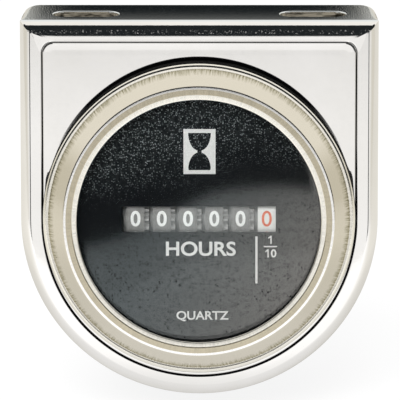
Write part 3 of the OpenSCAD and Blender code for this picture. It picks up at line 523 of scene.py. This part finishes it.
facing = place.node("Fresnel", None, {"IOR": 1.49})
dust = flecks(place, 1.9, 0.5, (0.6, 0.7))
share = facing * (1.25 + 0.8 * to_right) * (1 - dust)
both = place.node("MixShader", None, {0: share, 1: through, 2: shine})
both.to(clear.node_tree.nodes["Material Output"], "Surface")
glass.data.materials.append(clear)
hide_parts("lens")
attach(glass, "meter")


# Dial plate. Thin aluminium, sprayed with a black fine-textured paint, with a window for the number
# wheels.
# Its upper part is painted lighter and strewn with grey specks, as painted light and painted glints. It
# lies on the case's rim under the lens gasket.
def dress(material, *names):
    """Gives CAD nodes a finish."""
    for name in names:
        for slot in nodes[name].material_slots:
            slot.material = material


paint, shader, place = new_finish("dial_paint", Specular_IOR_Level=0.1)
side, _, rise = on_dial(place)
pebble = grain(place, 4.5, 2)
patch = grain(place, 0.09, 2)
# Painted light: the dial's upper part is lighter, and only there grey specks stand as painted glints.
painted_lit_zone = 0.04 + 0.96 * (rise - 0.18 * side + 12 * patch).rise(11.5, 20)
painted_glints = flecks(place, 3.3, 0.5, (0.3, 1.0)) * painted_lit_zone
base = (painted_lit_zone * grain(place, 1.5, 2).rise(0.35, 0.7)).mix((0.0025, 0.003, 0.004), (0.016, 0.018, 0.019))
painted_glints.mix(base, (0.32, 0.35, 0.36)).to(shader, "Base Color")
(0.42 + 0.2 * pebble).to(shader, "Roughness")
bump(shader, pebble, 0.03, 0.5)
dress(paint, "dial_plate")


# Print on the dial. Light grey screen ink: the word under the wheels, the tenths mark with its
# line, the kind of movement, and an hourglass sign in a frame, as on any meter of this kind.
def dry_ink(name, per_mm, spread, low, high, rough):
    """Ink that fades a little from place to place."""
    material, shader, place = new_finish(name, Roughness=rough)
    fade = grain(place, per_mm, 3)
    fade.rise(*spread).mix(low, high).to(shader, "Base Color")
    bump(shader, fade, 0.01, 0.3)
    return material


ink = dry_ink("light_ink", 2.5, (0.25, 0.75), (0.66, 0.65, 0.64), (0.77, 0.76, 0.75), 0.55)
ink_depth = 5.268
ink_weight = 0.022


def text_mesh(words, resolution, weight):
    """Words as a flat mesh, with the lowest and highest corner of their box."""
    bpy.ops.object.select_all(action="DESELECT")
    bpy.ops.object.text_add()
    piece = bpy.context.object
    piece.data.body = words
    piece.data.resolution_u = resolution
    piece.data.offset = weight
    bpy.ops.object.convert(target="MESH")
    low = Vector([min(v.co[i] for v in piece.data.vertices) for i in range(3)])
    high = Vector([max(v.co[i] for v in piece.data.vertices) for i in range(3)])
    return piece, low, high


def lettering(words, width, height, x, z):
    """A word as flat ink, fitted to a width and a height in mm about a point of the dial."""
    piece, low, high = text_mesh(words, 6, ink_weight)
    middle = (low + high) / 2
    fit = Matrix.Diagonal((width / (high.x - low.x) / 1000, height / (high.y - low.y) / 1000, 1, 1))
    stand = Matrix.Rotation(math.radians(90), 4, "X")
    spot = Matrix.Translation((x / 1000, -ink_depth / 1000, z / 1000))
    settle(piece, face_place @ spot @ stand @ fit @ Matrix.Translation(-middle))
    piece.data.materials.clear()
    piece.data.materials.append(ink)
    return piece


def flat_ink(name, border):
    """A flat patch of ink inside a border of x and z on the dial, in mm."""
    piece = thread_points(name, [(x, -ink_depth, z) for x, z in border])
    bpy.ops.mesh.select_all(action="SELECT")
    bpy.ops.mesh.edge_face_add()
    bpy.ops.mesh.normals_make_consistent(inside=False)
    bpy.ops.object.mode_set(mode="OBJECT")
    settle(piece, face_place)
    if piece.data.polygons[0].normal.y > 0:
        piece.data.flip_normals()
    piece.data.materials.append(ink)
    return piece


def joined(name, pieces):
    """Several pieces made one."""
    only(pieces[0])
    for piece in pieces:
        piece.select_set(True)
    bpy.ops.object.join()
    bpy.context.object.name = name
    return bpy.context.object


def bar(x, z, width, height):
    """The border of an upright rectangle about a point."""
    left, right = x - width / 2, x + width / 2
    foot_z, head_z = z - height / 2, z + height / 2
    return [(left, foot_z), (right, foot_z), (right, head_z), (left, head_z)]


printed = [lettering("HOURS", 13.2, 2.78, 0.34, -5.63)]
printed.append(lettering("QUARTZ", 9.9, 1.98, 0.66, -18.55))
one = [(0.08, -0.78), (0.32, -0.78), (0.32, 0.78), (0.12, 0.78), (-0.32, 0.42), (-0.32, 0.2), (0.08, 0.42)]
printed.append(flat_ink("one", [(13.4 + x, z - 3.9) for x, z in one]))
printed.append(flat_ink("ten_one", [(12.85 + x, z - 6.5) for x, z in one]))
printed.append(lettering("0", 1.05, 1.56, 14.1, -6.5))
printed.append(flat_ink("bar", bar(13.5, -5.2, 2.5, 0.25)))
printed.append(flat_ink("line", bar(10.85, -7.75, 0.43, 9.0)))
half_glass = [(0, 4.38), (-3.12, 4.38), (-3.12, -4.38), (0, -4.38), (0, -3.62), (-2.1, -3.62)]
bowl_turns = [math.radians(7.4 * i) for i in range(1, 12)]
bowl = [(-2.1 * math.cos(a), 3.45 * math.sin(a)) for a in bowl_turns]
half_glass += [(x - 0.1, z - 3.62) for x, z in bowl] + [(x - 0.1, 3.62 - z) for x, z in reversed(bowl)]
half_glass += [(-2.2, 3.62), (0, 3.62)]
printed.append(flat_ink("glass_left", [(0.97 * x + 0.1, 0.975 * z + 12.9) for x, z in half_glass]))
printed.append(flat_ink("glass_right", [(0.1 - 0.97 * x, 0.975 * z + 12.9) for x, z in half_glass]))
dial_print = joined("dial_print", printed)
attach(dial_print, "meter")


# Gaskets. Black rubber cut from sheet: one under the lens, one between the bezel and the panel.
# Both are held by pressure alone, and dust greys the rubber a little.
def mottled(name, noise, spread, tones, rough, relief, skin=None, **constants):
    """A finish whose colour and roughness follow one noise, and its relief that or its skin's noise."""
    material, shader, place = new_finish(name, **constants)
    mottle = grain(place, *noise)
    mottle.rise(*spread).mix(*tones).to(shader, "Base Color")
    (rough[0] + rough[1] * mottle).to(shader, "Roughness")
    bump(shader, grain(place, *skin) if skin else mottle, *relief)
    return material


rubber = mottled(
    "black_rubber", noise=(1.2, 4), spread=(0.45, 0.8), rough=(0.6, 0.25), relief=(0.02, 0.5),
    tones=((0.003, 0.003, 0.003), (0.014, 0.014, 0.013)), Specular_IOR_Level=0.08,
)
dress(rubber, "lens_gasket", "panel_gasket")


# Meter case. A cup of black phenolic-like plastic, moulded with board posts, stud bosses and two
# slots for the blades. Its thin flange sits inside the curled bezel.
plastic, shader, place = new_finish("black_moulding", IOR=1.5)
orange_peel = grain(place, 3.0, 3)
scuff = grain(place, 0.25, 4)
scuff.rise(0.4, 0.75).mix((0.012, 0.012, 0.013), (0.026, 0.026, 0.027)).to(shader, "Base Color")
(0.36 + 0.22 * scuff.rise(0.35, 0.7)).to(shader, "Roughness")
bump(shader, orange_peel, 0.02, 0.4)
dress(plastic, "meter_case")


# Number wheels. Moulded in grey plastic, the rims of the hour wheels printed darker and that of the tenths
# white, each with a gear on one side and a carry disc on the other, loose on one shaft. The lighter grey
# of the webs is painted light that lifts the shade in the gaps between the drums.
wheel_axis = 1.9
wheel_radius = 6.5


def wheel_plastic(name, low, high):
    """Grey plastic with a printed rim in tones from low to high; the web's fixed grey is painted light
    between drums.
    """
    material, shader, place = new_finish(name, IOR=1.5)
    _, depth, rise = on_dial(place)
    flow = grain(place, 0.8, 4)
    rim = from_middle(depth + wheel_axis, rise).rise(wheel_radius - 0.25, wheel_radius - 0.1)
    # Painted light: the web's grey, lighter than the hour wheels' rims, lifts the shade between the drums.
    web_tone = flow.rise(0.3, 0.75).mix((0.36, 0.355, 0.35), (0.46, 0.455, 0.45))
    rim_tone = flow.rise(0.3, 0.75).mix(low, high)
    rim.mix(web_tone, rim_tone).to(shader, "Base Color")
    (0.42 + 0.2 * flow).to(shader, "Roughness")
    bump(shader, grain(place, 5.0, 2), 0.008, 0.4)
    return material


dress(
    wheel_plastic("grey_wheel", (0.21, 0.205, 0.20), (0.28, 0.275, 0.27)),
    "wheel_units", "wheel_tens", "wheel_hundreds", "wheel_thousands", "wheel_ten_thousands",
)
dress(wheel_plastic("white_wheel", (0.78, 0.77, 0.755), (0.86, 0.85, 0.835)), "wheel_tenths")


# Figures on the wheels. Hot-stamped ink, ten figures to a wheel: white on grey, and red on the
# white wheel of the tenths. At rest every wheel shows 0.
figure_w = 1.9
one_w = 0.9
figure_h = 3.05
figure_reach = (wheel_radius + 0.015) / 1000
first_wheel_x = 12.8
wheel_pitch = 4.96


def figures(name, x, material, weight):
    """The ten figures of one wheel, wrapped on its rim at x mm."""
    made = []
    for digit in range(10):
        piece, low, high = text_mesh(str(digit), 5, weight)
        wide = figure_w if digit != 1 else one_w
        for v in piece.data.vertices:
            v.co.x = (v.co.x - (low.x + high.x) / 2) / (high.x - low.x) * wide / 1000
            v.co.y = (v.co.y - (low.y + high.y) / 2) / (high.y - low.y) * figure_h / 1000
        bpy.ops.object.mode_set(mode="EDIT")
        for slice_at in range(-5, 6):
            bpy.ops.mesh.select_all(action="SELECT")
            bpy.ops.mesh.bisect(plane_co=(0, slice_at * figure_h / 12000, 0), plane_no=(0, 1, 0))
        bpy.ops.object.mode_set(mode="OBJECT")
        for v in piece.data.vertices:
            turn = v.co.y / figure_reach + math.radians(36 * digit)
            y = wheel_axis / 1000 - figure_reach * math.cos(turn)
            v.co = (v.co.x + x / 1000, y, figure_reach * math.sin(turn))
        made.append(piece)
    piece = joined(name, made)
    settle(piece, face_place)
    piece.data.materials.clear()
    piece.data.materials.append(material)
    return piece


white_figures = dry_ink("white_figures", 3.0, (0.3, 0.7), (0.84, 0.84, 0.83), (0.92, 0.92, 0.91), 0.5)
red_figures = dry_ink("red_figures", 3.0, (0.3, 0.7), (0.70, 0.10, 0.03), (0.80, 0.17, 0.06), 0.5)
decades = ("tenths", "units", "tens", "hundreds", "thousands", "ten_thousands")
for count, decade in enumerate(decades):
    ink_used, weight = (red_figures, 0.005) if count == 0 else (white_figures, 0.026)
    row = figures("figures_" + decade, first_wheel_x - wheel_pitch * count, ink_used, weight)
    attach(row, "wheel_" + decade)


# Transfer pinions and gears of the train. Milk-white acetal, moulded, free on their shafts. The
# rotor's spindle with its pinion is of the same stuff.
acetal = mottled(
    "milk_acetal", noise=(0.7, 3), spread=(0.3, 0.75), rough=(0.38, 0.15), relief=(0.006, 0.4),
    tones=((0.70, 0.69, 0.65), (0.80, 0.79, 0.76)), skin=(6.0, 2), IOR=1.48,
)
dress(
    acetal,
    "pinion_units", "pinion_tens", "pinion_hundreds", "pinion_thousands", "pinion_ten_thousands",
    "drive_gear", "intermediate_gear", "rotor_spindle",
)


# Shafts, arbors and clip. Bright drawn steel and brass, with fine lines from drawing. They are
# held in the plates of the movement frame, and the clip keeps the wheels in their row.
def drawn_metal(name, low, high, rough):
    """Metal with the lines of the drawing die along its length."""
    return mottled(
        name, noise=(3.0, 3, (0.06, 1, 1)), spread=(0.3, 0.7), rough=(rough, 0.15), relief=(0.004, 0.4),
        tones=(low, high), Metallic=1.0,
    )


bright_steel = drawn_metal("bright_steel", (0.50, 0.50, 0.51), (0.62, 0.62, 0.63), 0.22)
dress(bright_steel, "wheel_shaft", "pinion_shaft", "rotor_arbor", "retaining_clip")
dress(drawn_metal("drawn_brass", (0.62, 0.46, 0.20), (0.76, 0.60, 0.30), 0.25), "intermediate_arbor")


# Stepper motor. A ferrite magnet turns in a pierced steel stator; a coil of enamelled copper wire on
# a nylon bobbin sits on the core behind it, and a nylon bridge carries the far end of the arbor.
ferrite = mottled(
    "sintered_ferrite", noise=(4.0, 4), spread=(0.3, 0.75), rough=(0.45, 0.25), relief=(0.015, 0.6),
    tones=((0.045, 0.045, 0.05), (0.10, 0.10, 0.105)), Metallic=0.35,
)
dress(ferrite, "rotor_magnet")
sheet_steel = mottled(
    "punched_steel", noise=(1.2, 4, (1, 0.08, 1)), spread=(0.3, 0.75), rough=(0.32, 0.2),
    relief=(0.006, 0.5), tones=((0.36, 0.36, 0.37), (0.50, 0.50, 0.50)), Metallic=1.0,
)
dress(sheet_steel, "stator", "coil_core")
radians_per_metre = 42000
copper, shader, place = new_finish("enamelled_copper", Metallic=0.85)
tall = place.node("SeparateXYZ", None, {0: place}, out="Z")
turns = 0.5 + 0.5 * (tall * radians_per_metre).maths("SINE")
turns.mix((0.30, 0.085, 0.03), (0.62, 0.26, 0.10)).to(shader, "Base Color")
(0.28 + 0.2 * turns).to(shader, "Roughness")
bump(shader, turns, 0.05, 0.8)
dress(copper, "coil_winding")
nylon = mottled(
    "natural_nylon", noise=(0.4, 4), spread=(0.3, 0.75), rough=(0.4, 0.2), relief=(0.01, 0.4),
    tones=((0.66, 0.64, 0.57), (0.77, 0.75, 0.69)), skin=(4.0, 3), IOR=1.53,
)
dress(nylon, "coil_bobbin", "motor_bridge")


# Movement frame. Glass-filled nylon moulding, pale, that carries the shafts and the motor. Its feet
# stand on the circuit board.
glass_nylon = mottled(
    "filled_nylon", noise=(2.2, 4, (1, 0.25, 1)), spread=(0.3, 0.75), rough=(0.48, 0.22),
    relief=(0.012, 0.4), tones=((0.58, 0.57, 0.52), (0.72, 0.71, 0.66)), IOR=1.53,
)
dress(glass_nylon, "movement_frame")


# Small screws of the movement. Slotted, zinc plated. Two go through the frame's feet and the board
# into posts of the case, and the others hold the motor on the frame.
zinc = mottled(
    "bright_zinc", noise=(0.5, 4), spread=(0.3, 0.75), rough=(0.24, 0.2), relief=(0.006, 0.4),
    tones=((0.52, 0.53, 0.55), (0.70, 0.71, 0.72)), skin=(2.0, 3), Metallic=1.0,
)
dress(zinc, "motor_screws", "frame_screws")


# Circuit board. Glass-epoxy under green mask, with tracks, and the few parts of a quartz clock on
# it: chip, crystal, capacitor, diode and resistor.
board, shader, place = new_finish("green_board", IOR=1.5)
weave = grain(place, 2.0, 2)
bricks = {"Vector": place, "Scale": 260, "Mortar Size": 0.012}
track = place.node("TexBrick", {"offset": 0.5}, bricks, out="Fac")
track.mix((0.012, 0.085, 0.03), (0.03, 0.15, 0.05)).to(shader, "Base Color")
(0.3 + 0.15 * weave).to(shader, "Roughness")
bump(shader, track + 0.3 * weave, 0.02, 0.4)
dress(board, "circuit_board")
epoxy = mottled(
    "moulded_epoxy", noise=(5.0, 3), spread=(0.3, 0.75), rough=(0.5, 0.2), relief=(0.012, 0.5),
    tones=((0.014, 0.014, 0.015), (0.032, 0.032, 0.034)), IOR=1.5,
)
dress(epoxy, "driver_chip", "diode")
dress(bright_steel, "quartz_crystal")
sleeve = mottled(
    "capacitor_sleeve", noise=(0.8, 3), spread=(0.3, 0.7), rough=(0.3, 0.15), relief=(0.01, 0.3),
    tones=((0.02, 0.03, 0.09), (0.035, 0.05, 0.13)), IOR=1.5,
)
dress(sleeve, "capacitor")
lacquer, shader, place = new_finish("banded_lacquer", IOR=1.5)
along = place.node("SeparateXYZ", None, {0: place}, out="X") * 1000
bands = (0.5 + 0.5 * (along * 6.6).maths("SINE")).rise(0.72, 0.78)
bands.mix((0.55, 0.42, 0.27), (0.30, 0.06, 0.03)).to(shader, "Base Color")
(0.32 + 0.1 * grain(place, 3.0, 2)).to(shader, "Roughness")
dress(lacquer, "resistor")


# Blade terminals. Tinned brass, punched, pushed through the case from inside and soldered to the
# board. They are bare, ready for push-on leads.
def drawn_out(piece, shift):
    """Closes a chain to a face, draws the face out by shift in mm, and leaves edit mode."""
    bpy.ops.mesh.select_all(action="SELECT")
    bpy.ops.mesh.edge_face_add()
    bpy.ops.mesh.extrude_region_move(TRANSFORM_OT_translate={"value": Vector(shift) / 1000})
    bpy.ops.mesh.select_all(action="SELECT")
    bpy.ops.mesh.normals_make_consistent(inside=False)
    bpy.ops.object.mode_set(mode="OBJECT")
    return piece


def broken_edges(piece, offset_mm):
    """Rounds a piece's sharp edges, as tumbling does."""
    use(
        piece, "BEVEL", width=offset_mm / 1000, segments=2, limit_method="ANGLE",
        angle_limit=math.radians(35), use_clamp_overlap=True,
    )
    bpy.ops.object.shade_smooth_by_angle(angle=math.radians(40))


tinned = mottled(
    "tinned_brass", noise=(0.6, 4), spread=(0.35, 0.75), rough=(0.26, 0.22), relief=(0.006, 0.4),
    tones=((0.62, 0.60, 0.54), (0.74, 0.72, 0.67)), skin=(2.5, 3), Metallic=1.0,
)
blade_x = 8
blade_z = -11.5
blade_t = 0.8
hole_y = 42
half_blade = [(32.2, 1), (35.2, 1), (35.2, 3.975), (36, 3.975), (36, 3.175), (44.8, 3.175), (46, 1.975)]
blade_line = half_blade + [(y, -z) for y, z in reversed(half_blade)]
hole_line = arc((hole_y, blade_z), 0.85, 0, 360, 24)[:-1]
for side_name, sign in (("left", -1), ("right", 1)):
    near = sign * blade_x - blade_t / 2
    blade = thread_points("blade_terminal_" + side_name, [(near, y, z + blade_z) for y, z in blade_line])
    drawn_out(blade, (blade_t, 0, 0))
    hole = thread_points("blade_hole", [(near - 0.5, y, z) for y, z in hole_line])
    cut(blade, drawn_out(hole, (blade_t + 1, 0, 0)))
    broken_edges(blade, 0.1)
    settle(blade, face_place)
    blade.data.materials.append(tinned)
    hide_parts("terminal_" + side_name)
    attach(blade, "meter")


# Clamp strap. Zinc-plated steel strip, bent to a U, with a hole for each stud. Its legs press on the
# back of the panel and pull the case and the bezel against it.
stud_x = 17.5
strap_w = 10
strap_bend = (25.8, 38.2)
outer_strap = [(27.8, 1.2), (29, 1.2)] + arc(strap_bend, 3.2, 0, 90, 10)
inner_strap = arc(strap_bend, 2, 90, 0, 10)
strap_line = outer_strap + [(-x, y) for x, y in reversed(outer_strap)]
strap_line += [(-x, y) for x, y in reversed(inner_strap)] + inner_strap
strap = thread_points("clamp_strap_bent", [(x, y, -strap_w / 2) for x, y in strap_line])
drawn_out(strap, (0, 0, strap_w))
settle(strap, face_place)
strap_hole = [(0, -39), (2.25, -39), (2.25, -42), (0, -42)]
for x in (-stud_x, stud_x):
    cut(strap, turned("strap_hole", strap_hole, 32, closed=False, x=x))
broken_edges(strap, 0.22)
strap.data.materials.append(zinc)
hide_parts("clamp_strap")
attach(strap, "meter")


# Studs of the clamp. Threaded rod, 4 mm with a 0.7 mm pitch, zinc plated, its end chamfered, and
# moulded into the bosses of the case.
def on_stud(depth):
    """The place of a piece that stands on the right stud, depth mm behind the panel's front."""
    spot = Matrix.Translation((stud_x / 1000, depth / 1000, 0))
    return face_place @ spot @ Matrix.Rotation(math.radians(-90), 4, "X")


def pair(piece):
    """A piece on the right stud joined with its copy on the left."""
    only(piece)
    bpy.ops.object.duplicate_move(TRANSFORM_OT_translate={"value": (-2 * stud_x / 1000, 0, 0)})
    twin = bpy.context.object
    settle(twin, Matrix.Identity(4))
    return joined(piece.name, [piece, twin])


thread_pitch = 0.7
thread_turns = 15
thread_line = [(1.62, 0, 0), (1.9, 0, 0.24), (1.98, 0, 0.35), (1.9, 0, 0.46), (1.62, 0, thread_pitch)]
stud = thread_points("clamp_stud_pair", thread_line)
bpy.ops.object.mode_set(mode="OBJECT")
use(
    stud, "SCREW", axis="Z", angle=2 * math.pi, screw_offset=thread_pitch / 1000,
    iterations=thread_turns, steps=28, render_steps=28,
)
bpy.ops.object.mode_set(mode="EDIT")
for level, keep in ((0.8, "clear_inner"), (10.15, "clear_outer")):
    bpy.ops.mesh.select_all(action="SELECT")
    bpy.ops.mesh.remove_doubles(threshold=2e-6)
    bpy.ops.mesh.bisect(plane_co=(0, 0, level / 1000), plane_no=(0, 0, 1), use_fill=True, **{keep: True})
bpy.ops.mesh.select_all(action="SELECT")
bpy.ops.mesh.normals_make_consistent(inside=False)
bpy.ops.object.mode_set(mode="OBJECT")
settle(stud, on_stud(37.0))
stud_form = [(0, -37.85), (2.1, -37.85), (2.1, -46.4), (1.5, -46.99), (0, -46.99)]
cut(stud, turned("stud_form", stud_form, 32, closed=False, x=stud_x), "INTERSECT")
stud = pair(stud)
bpy.ops.object.shade_smooth_by_angle(angle=math.radians(30))
stud.data.materials.append(zinc)
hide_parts("clamp_studs")
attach(stud, "meter")


# Lock washers of the clamp. Spring steel of square section, wound to one turn, cut and zinc plated.
# Each lies between the strap and its nut.
washer_line = [(2.1, 0, 0), (3.45, 0, 0), (3.45, 0, 0.6), (2.1, 0, 0.6), (2.1, 0, 0)]
washer = thread_points("clamp_washer_pair", washer_line)
bpy.ops.mesh.select_all(action="SELECT")
bpy.ops.mesh.remove_doubles(threshold=1e-6)
bpy.ops.object.mode_set(mode="OBJECT")
use(washer, "SCREW", axis="Z", angle=math.radians(347), screw_offset=0.00019, steps=48, render_steps=48)
bpy.ops.object.mode_set(mode="EDIT")
bpy.ops.mesh.select_all(action="SELECT")
bpy.ops.mesh.fill_holes(sides=4)
bpy.ops.mesh.select_all(action="SELECT")
bpy.ops.mesh.normals_make_consistent(inside=False)
bpy.ops.object.mode_set(mode="OBJECT")
settle(washer, on_stud(41.4))
broken_edges(washer, 0.07)
washer = pair(washer)
washer.data.materials.append(zinc)
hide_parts("clamp_washers")
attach(washer, "meter")


# Nuts of the clamp. Hexagon, 7 mm across flats, chamfered on both faces and countersunk at the bore,
# zinc plated. Screwed on the studs, they press the strap against the panel.
nut_y = 42.2
nut_h = 3.2
nut_r = 4.0415
turns = [math.radians(60 * i) for i in range(6)]
corners = [(stud_x + nut_r * math.cos(a), nut_y, nut_r * math.sin(a)) for a in turns]
nut = drawn_out(thread_points("clamp_nut_pair", corners), (0, nut_h, 0))
settle(nut, face_place)
nut_form = [(0, -42.2), (3.4, -42.2), (4.15, -42.63), (4.15, -44.97), (3.4, -45.4), (0, -45.4)]
cut(nut, turned("nut_form", nut_form, 48, closed=False, x=stud_x), "INTERSECT")
bore = [(0, -42), (2.5, -42), (2.5, -42.2), (2.03, -42.6)]
bore += [(2.03, -45), (2.5, -45.4), (2.5, -45.6), (0, -45.6)]
cut(nut, turned("nut_bore", bore, 32, closed=False, x=stud_x))
broken_edges(nut, 0.08)
nut = pair(nut)
nut.data.materials.append(zinc)
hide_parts("clamp_nuts")
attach(nut, "meter")


# Studio. A pale floor under the hanging meter, a soft box above, and a world that is white for the
# camera. The room in front, from just above the horizon, is dark, as a photographer's is.
floor_gap = 0.004
bpy.ops.object.select_all(action="DESELECT")
bpy.ops.mesh.primitive_plane_add(size=1.8, location=(0, 0, cad_box[0][2] - floor_gap))
floor = bpy.context.object
floor.name = "studio_floor"
settle(floor, Matrix.Identity(4))


def room_tone(across, forward):
    """The colour of the room about the horizon: white in front, warm and dimmer at the sides."""
    ahead = forward.rise(-0.2, 0.3)
    edge = (1 - across.rise(0.3, 0.75)) * ahead
    return edge.mix((0.73, 0.70, 0.62), (1.0, 0.99, 0.975))


floor_seen = 0.86
floor_mirrored = 0.8
shade_beneath = 0.28
white, shader, place = new_finish(
    "floor_white", Base_Color=(0.86, 0.86, 0.86, 1), Roughness=0.9, Specular_IOR_Level=0.0,
)
aim_way = place.node("VectorMath", {"operation": "NORMALIZE"}, {0: place})
aside = aim_way.node("SeparateXYZ", None, {0: aim_way})
across = aside.maths("ABSOLUTE")
forward = aside.beside("Y") * -1
glossy = place.node("LightPath", out="Is Glossy Ray")
seen = glossy.beside("Is Camera Ray") + glossy.beside("Is Transmission Ray")
far_off = place.node("VectorMath", {"operation": "LENGTH"}, {0: place}, out="Value")
beneath = 1 - far_off.rise(0.09, 0.16)
glow_tone = glossy.mix((1, 1, 1), room_tone(across, forward))
glow_strength = 1 - shade_beneath * glossy * beneath
glow = place.node("Emission", None, {"Color": glow_tone, "Strength": glow_strength})
matt_white = Wire(place.tree, shader.outputs[0])
shown = (seen * floor_seen + glossy * floor_mirrored).rise(0, 1)
blend = place.node("MixShader", None, {0: shown, 1: matt_white, 2: glow})
blend.to(white.node_tree.nodes["Material Output"], "Surface")
floor.data.materials.append(white)

dark_depth = 0.985
front_shade = 0.14
diffuse_loss = 0.05
world = bpy.data.worlds.new("studio_world")
bpy.context.scene.world = world
world.use_nodes = True
back = world.node_tree.nodes["Background"]
way = Wire(world.node_tree).node("TexCoord", out="Generated")
aside = way.node("SeparateXYZ", None, {0: way})
across = aside.maths("ABSOLUTE")
forward = aside.beside("Y") * -1
height = aside.beside("Z")
dark_front = forward.rise(0.33, 0.39) * height.rise(0.045, 0.06)
dark_back = (forward * -1).rise(0.6, 0.7) * (1 - (aside + 0.009).maths("ABSOLUTE").rise(0.034, 0.052))
back_fade = 1 - 0.3 * height.rise(0.25, 0.32) - 0.7 * height.rise(0.36, 0.5)
dark_back = dark_back * height.rise(0.0, 0.05) * back_fade
dark_strip = forward.rise(0.5, 0.6) * across.rise(0.185, 0.195) * (1 - across.rise(0.28, 0.3))
dark = dark_front.maths("MAXIMUM", dark_back).maths("MAXIMUM", dark_strip)
overhead = height.rise(0.2, 0.4)
pale = overhead.mix(room_tone(across, forward), (1.0, 0.98, 0.935))
upper_front = forward.rise(0.5, 0.6) * height.rise(0.012, 0.035) * front_shade
pale = (dark_depth * dark).maths("MAXIMUM", upper_front).mix(pale, (0.0, 0.003, 0.005))
glossy = way.node("LightPath", out="Is Glossy Ray")
glossy.mix((1, 1, 1), pale).to(back, "Color")
(1 - diffuse_loss * glossy.beside("Is Diffuse Ray")).to(back, "Strength")

lamp = bpy.data.lights.new("soft_box", "AREA")
lamp.shape = "RECTANGLE"
lamp.size = 0.7
lamp.size_y = 0.7
lamp.energy = 12.0
lamp_aim = Vector((0, 0, -0.035))
soft_box = bpy.data.objects.new("soft_box", lamp)
soft_box.location = (-0.2, -0.62, 0.6)
soft_box.rotation_euler = (lamp_aim - soft_box.location).to_track_quat("-Z", "Y").to_euler()
soft_box.visible_glossy = False
bpy.context.scene.collection.objects.link(soft_box)


# Camera. Above the meter and square to it, far off, as the photograph's perspective is nearly flat.
# Its angles, distance and focal length come from a fit to points of the bezel, panel and flange.
photo_px = 400
lens_px = 4262
sensor_mm = 36
azimuth = math.radians(-0.51)
elevation = math.radians(16.24)
roll = math.radians(-0.11)
distance = 0.809
aim = Vector((0.00015, -0.012046, -0.03339))
sight = Vector((
    math.sin(azimuth) * math.cos(elevation),
    math.cos(azimuth) * math.cos(elevation),
    -math.sin(elevation),
))
view = bpy.data.cameras.new("photo_camera")
view.sensor_fit = "HORIZONTAL"
view.sensor_width = sensor_mm
view.lens = sensor_mm * lens_px / photo_px
view.clip_start = 0.01
camera = bpy.data.objects.new("photo_camera", view)
turn = sight.to_track_quat("-Z", "Y").to_matrix().to_4x4() @ Matrix.Rotation(roll, 4, "Z")
camera.matrix_world = Matrix.Translation(aim - distance * sight) @ turn
bpy.context.scene.collection.objects.link(camera)
bpy.context.scene.camera = camera
bpy.context.scene.view_settings.view_transform = "Standard"
